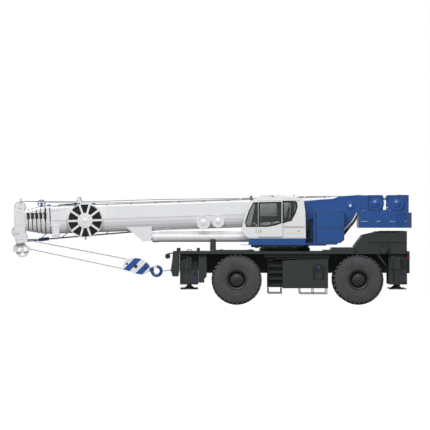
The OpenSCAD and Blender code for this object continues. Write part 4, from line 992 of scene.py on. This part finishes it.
winch_gear = Form()
for x in drum_xs:
    winch_gear.turned((x, 0, drum_z), [(0, -506), (64, -506), (80, -498), (150, -492), (158, -484),
                                       (158, -469), (0, -469)])
    winch_gear.turned((x, 0, drum_z), [(252, -476), (268, -476), (268, -468), (252, -468)], steps=48)
for x0, x1 in ((5880, 6000), (6300, 6400), (6600, 6690), (7240, 7360)):
    winch_gear.block((x0, -412, 3470), (x1, -399, 3520), 4)
winch_gear.pipe([(5900, -430, 4085), (6380, -430, 4085)], 14)
winch_gear.pipe([(6590, -430, 4085), (7330, -430, 4085)], 14)
for x in (5900, 6380, 6590, 7330):
    winch_gear.pipe([(x, -430, 4085), (x, -430, 3900)], 13)
winch_gear.made("winch_covers", blue, "superstructure", "blue_paint", both=True)
bolts_at("winch_cover_bolts", [(x, s * 474, drum_z) for x in drum_xs for s in (-1, 1)], 14, 212, 11, 14,
         steel, "superstructure")
motors = Form()
for x in drum_xs:
    motors.turned((x, 0, drum_z), [(0, 468), (96, 470), (96, 610), (70, 640), (0, 646)], steps=24)
    motors.pipe([(x + 60, 560, 3860), (x + 100, 600, 3990), (x - 120, 560, 4040), (x - 300, 470, 3990)], 18,
                smooth=2)
motors.made("winch_motors", black, "superstructure", "black_paint")
tags = Form()
for z in (3560, 3700, 3860, 3960):
    tags.block((6470, -412, z), (6500, -399, z + 60), 2)
tags.block((6560, -412, 3600), (6600, -399, 3640), 2)
tags.made("winch_white_marks", pale_mark, "superstructure", "white_paint")

cheek_gear = Form()
for points in ([(3420, 3830), (4540, 3920), (4800, 4010), (5480, 4060), (5480, 4030), (4800, 3975),
                (4545, 3885), (3420, 3795)],
               [(3340, 3400), (3400, 3400), (3480, 3780), (3430, 3790)]):
    cheek_gear.slab(points, -462, -449, soft=2)
for x, z in ((4100, 3600), (5560, 3620), (5560, 3960), (5760, 3620), (5760, 3960)):
    cheek_gear.turned((x, 0, z), [(0, -470), (34, -470), (40, -462), (40, -449), (0, -449)], steps=20)
cheek_gear.block((5470, -462, 3470), (5860, -449, 3500), 2)
cheek_gear.turned((pivot_x, 0, pivot_z), [(96, -462), (150, -462), (158, -455), (158, -449), (96, -449)],
                  steps=40)
cheek_gear.made("side_plate_edges", blue, "superstructure", "blue_paint", both=True)
under = Form()
under.block((1480, -1560, 2150), (3420, -700, 2232), 8)
for x in (1620, 2300, 3050):
    under.block((x, -1580, 2120), (x + 160, -1300, 2200), 8)
under.pipe([(1500, -1590, 2190), (2300, -1592, 2170), (3400, -1590, 2190)], 16)
under.made("cab_underframe", black, "superstructure", "black_paint")
step_plate = Form()
step_plate.block((1090, -1540, 2230), (1620, -1180, 2246), 3)
step_plate.made("cab_step_plate", blue, "superstructure", "blue_paint")
grown("slewing_ring_bolts", bolt_ring, steel, "carrier", "steel", Matrix.Translation((2750, 0, 2106)),
      Count=60, Ring_radius=934.0, Bolt_radius=13.0, Bolt_height=16.0)


# Lift cylinder

lift = Form()
lift.turned((0, 0, 2520), [(178, -2206), (197, -2206), (197, -2184), (178, -2184)], axis="X", steps=48)
lift.turned((0, 0, 2520), [(176, 2060), (190, 2060), (190, 2110), (176, 2110)], axis="X", steps=48)
for x in (-1500, -500, 600, 1600):
    lift.block((x, -36, 2690), (x + 50, 36, 2736), 4)
lift.pipe([(-1950, 0, 2690), (-1900, 0, 2726), (1900, 0, 2726), (1980, 0, 2690)], 14, smooth=1)
lift.made("lift_cylinder_pipe", white, "lift_barrel", "white_paint")


# Wheels

def wheel_ring(form, x, side, section, steps=48):
    """Turns a section of (radius, distance out from the tyre's middle) about a wheel's axis."""
    form.turned((x, 0, wheel_z), [(r, side * (tyre_middle + out)) for r, out in section], steps=steps)


for corner, x, side in corners:
    wheel = Form()
    wheel_ring(wheel, x, side, [(0, 334), (46, 334), (60, 328), (60, 316), (0, 316)], 24)
    wheel_ring(wheel, x, side, [(345, 350), (352, 362), (372, 362), (378, 352), (372, 346), (350, 344)])
    wheel_ring(wheel, x, side, [(186, 296), (205, 296), (205, 304), (186, 304)])
    wheel.made("hub_cap_" + corner, rim_and_recess_shade, "wheel_" + corner, "carrier_paint")
    bands = Form()
    for r, out in ((470, 368), (560, 374), (650, 370), (735, 356)):
        band = [(r, out - 8), (r + 4, out + 3), (r + 12, out + 3), (r + 16, out - 8)]
        wheel_ring(bands, x, side, band, 72)
    bands.made("sidewall_bands_" + corner, rubber, "wheel_" + corner, "tyre_rubber")
    turn = facing_left if side < 0 else facing_right
    nuts = []
    for count, ring, size, out, height in ((20, 222, 17, 222, 34.0), (12, 150, 9, 314, 14.0)):
        place = Matrix.Translation((x, side * (tyre_middle + out), wheel_z)) @ turn
        nuts.append(grown("nuts", bolt_ring, steel, None, None, place, Count=count,
                          Ring_radius=float(ring), Bolt_radius=float(size), Bolt_height=height))
    together("wheel_nuts_" + corner, nuts, steel, "wheel_" + corner)


# Carrier

left = Form()
left.block((1960, -1510, 1796), (4390, -1497, 1860), 4)
left.block((3870, -1514, 950), (4140, -1500, 1240), 8)
left.block((3890, -1520, 1180), (4120, -1510, 1212), 4)
left.made("carrier_side_panels", dark_green, "carrier", "carrier_paint", both=True)
cap = Form()
cap.turned((4000, 0, 1400), [(0, -1518), (52, -1518), (58, -1510), (58, -1500), (0, -1500)], steps=28)
cap.made("tank_cap", blue, "carrier", "blue_paint", both=True)
shadow_strip_and_handles = Form()
# The long black strip is painted shadow below the side band's edge; the two small blocks after it are handles
shadow_strip_and_handles.slab([(2320, 1690), (4330, 1690), (4400, 1760), (4400, 1790), (4300, 1740), (2380, 1740),
               (2300, 1640)], -1512, -1496)
for x, top in ((2500, 1560), (4260, 1500)):
    shadow_strip_and_handles.block((x, -1516, top - 200), (x + 24, -1498, top - 120), 4)
shadow_strip_and_handles.made("side_shadow_strips_and_handles", black, "carrier", "black_paint", both=True)

# A flat black sheet where the side is recessed round the tank cap: its black is painted shade of the recess
recess = Form()
recess.slab([(3775, 935), (4235, 935), (4235, 1400), (4180, 1480), (4080, 1520), (3930, 1520), (3830, 1480),
             (3775, 1400)], -1505, -1497, soft=2)
recess.made("carrier_recess_shade", black, "carrier", "black_paint", both=True)
front_strips = ((-1176, -1130, 1200, 1840), (-850, -806, 1200, 1840), (-1176, -806, 1796, 1846),
                (-1060, -1000, 1240, 1700), (-1160, -1070, 900, 1180), (-620, -560, 1120, 1300))
rear_strips = ((6760, 6800, 830, 1750), (7040, 7090, 1140, 1500))
for corner, side, strips, box in (("fl", -1, front_strips, (-790, -540, 805, 1075)),
                                  ("fr", 1, front_strips, (-790, -540, 805, 1075)),
                                  ("rl", -1, rear_strips, (7040, 7270, 830, 1120)),
                                  ("rr", 1, rear_strips, (7040, 7270, 830, 1120))):
    shape = Form()
    for x0, x1, z0, z1 in strips:
        shape.block((x0, min(side * 1498, side * 1511), z0), (x1, max(side * 1498, side * 1511), z1), 3)
    shape.made("outrigger_strips_" + corner, black, "beam_" + corner, "black_paint")
    shape = Form()
    x0, x1, z0, z1 = box
    shape.block((x0, min(side * 1490, side * 1512), z0), (x1, max(side * 1490, side * 1512), z1), 5)
    shape.made("outrigger_box_" + corner, navy, "beam_" + corner, "blue_paint")
slits = Form()
for x0, x1 in ((6110, 6330), (6400, 6640), (6700, 6900)):
    for z in (2690, 2724):
        slits.block((x0, -1345, z), (x1, -1318, z + 14), 2)
slits.block((5880, -1345, 2326), (7260, -1318, 2340), 2)
slits.block((6960, -1345, 2340), (6972, -1318, 2780), 2)
slits.made("engine_hood_slits", black, "carrier", "black_paint", both=True)
rear_gear = Form()
for x in (6330, 6560):
    rear_gear.pipe([(x, -1380, 2300), (x + 60, -1420, 2140), (x + 20, -1400, 1960)], 26, smooth=1)
rear_gear.turned((6420, 0, 2010), [(0, -1480), (110, -1480), (122, -1470), (122, -1300), (0, -1300)],
                 steps=28)
rear_gear.made("rear_corner_gear", dark_green, "carrier", "carrier_paint", both=True)
lamps = Form()
lamps.block((7386, -1320, 1740), (7398, -1220, 1820), 4)
lamps.block((7320, -1358, 1740), (7380, -1346, 1800), 4)
lamps.made("rear_lamps", red_lens, "carrier", "cab_trim", both=True)
heads = Form()
heads.turned((0, -1080, 1985), [(0, -1302), (40, -1302), (46, -1294), (46, -1286), (0, -1286)], axis="X",
             steps=24)
heads.made("head_lamps", clear_lens, "carrier", "cab_trim", both=True)

inner_trim = Form()
inner_trim.slab([(1500, 3050), (3100, 3150), (3100, 3240), (2960, 3240), (2600, 3230), (2600, 3310),
                 (1790, 3310), (1560, 3310)], -775, -765)
inner_trim.slab([(1560, 3310), (1790, 3310), (1790, 3790), (1650, 3790)], -775, -765)
inner_trim.slab([(2440, 3310), (2620, 3310), (2620, 3790), (2440, 3790)], -775, -765)
inner_trim.slab([(2960, 3240), (3100, 3240), (3100, 3800), (2960, 3800)], -775, -765)
inner_trim.made("cab_inner_trim", trim, "superstructure", "cab_trim")

plates = [grown("plates", tread_plate, dark_green, None, None, Matrix.Translation((x, y, 2001)),
                Length=float(length), Width=float(width), Rows_along=int(length / 90),
                Rows_across=int(width / 90), Pitch=(45.0, 45.0, 0.0), Bar=(46.0, 10.0, 7.0))
          for x, length in ((-420, 1300), (950, 1100)) for y, width in ((-1180, 620), (1180, 620))]
together("deck_tread_plates", plates, dark_green, "carrier")
deck_gear = Form()
for x in (-900, 300, 1400):
    deck_gear.pipe([(x, -600, 2000), (x, -600, 2050), (x + 160, -600, 2050), (x + 160, -600, 2000)], 10,
                   smooth=1)
for x in (-1060, 320, 1560):
    deck_gear.block((x, -1560, 2000), (x + 14, -820, 2006), 2)
deck_gear.block((6300, -1000, 2744), (7200, -560, 2756), 3)
for x in range(6340, 7200, 90):
    deck_gear.block((x, -980, 2752), (x + 40, -580, 2760), 2)
deck_gear.made("deck_and_hood_top_gear", black, "carrier", "black_paint", both=True)


# Floor, light and camera

floor_grey, floor_glow = 0.14, 1.2      # dim to what falls on it, white to the camera
room_level = 0.42                       # the white room's level, except where the camera sees it
frame_width, distance = 16.125, 200.0   # what the picture's width spans, and how far off the camera is

floor_mesh = bpy.data.meshes.new("floor")
floor_mesh.from_pydata([(-90, -120, 0), (90, -120, 0), (90, 14, 0), (-90, 14, 0)], [], [(0, 1, 2, 3)])
floor = bpy.data.objects.new("floor", floor_mesh)
scene.collection.objects.link(floor)
floor_finish = bpy.data.materials.new("pale_floor")
floor_finish.use_nodes = True
tree = floor_finish.node_tree
tree.nodes.clear()
seen = add(tree, "ShaderNodeLightPath").outputs["Is Camera Ray"]
plain = add(tree, "ShaderNodeBsdfDiffuse", Color=(floor_grey, floor_grey, floor_grey, 1.0))
shown = add(tree, "ShaderNodeMath", {"operation": "MULTIPLY"}, i0=seen, i1=floor_glow)
glow = add(tree, "ShaderNodeEmission", Strength=shown.outputs[0])
both = add(tree, "ShaderNodeAddShader", i0=plain.outputs[0], i1=glow.outputs[0])
add(tree, "ShaderNodeOutputMaterial", Surface=both.outputs[0])
floor_mesh.materials.append(floor_finish)

world = bpy.data.worlds.new("studio")
scene.world = world
world.use_nodes = True
tree = world.node_tree
tree.nodes.clear()
rays = add(tree, "ShaderNodeLightPath")
direct = add(tree, "ShaderNodeMath", {"operation": "MAXIMUM"}, i0=rays.outputs["Is Camera Ray"],
             i1=rays.outputs["Is Transmission Ray"])
level = add(tree, "ShaderNodeMapRange", Value=direct.outputs[0], To_Min=room_level, To_Max=1.0)
sky = add(tree, "ShaderNodeBackground", Color=(1.0, 1.0, 1.0, 1.0), Strength=level.outputs[0])
add(tree, "ShaderNodeOutputWorld", Surface=sky.outputs[0])


def area_light(name, place, target, size, power):
    data = bpy.data.lights.new(name, "AREA")
    data.shape = "RECTANGLE"
    data.size, data.size_y = size
    data.energy = power
    light = bpy.data.objects.new(name, data)
    scene.collection.objects.link(light)
    light.location = place
    light.rotation_euler = (Vector(target) - Vector(place)).to_track_quat("-Z", "Y").to_euler()


area_light("overhead_softbox", (0, -4, 22), (0, 0, 1), (26, 12), 1500)
area_light("front_softbox", (-3, -22, 17), (0, 0, 2), (24, 9), 5600)
area_light("rear_softbox", (3, 24, 15), (0, 0, 2), (24, 9), 3200)

camera_data = bpy.data.cameras.new("camera")
camera = bpy.data.objects.new("camera", camera_data)
scene.collection.objects.link(camera)
scene.camera = camera
camera_data.sensor_width = 36.0
camera_data.lens = camera_data.sensor_width * distance / frame_width
camera_data.clip_end = 1000.0
camera.location = (0.139, -distance, 3.349)
camera.rotation_euler = (math.pi / 2, 0, 0)
scene.view_settings.view_transform = "Standard"
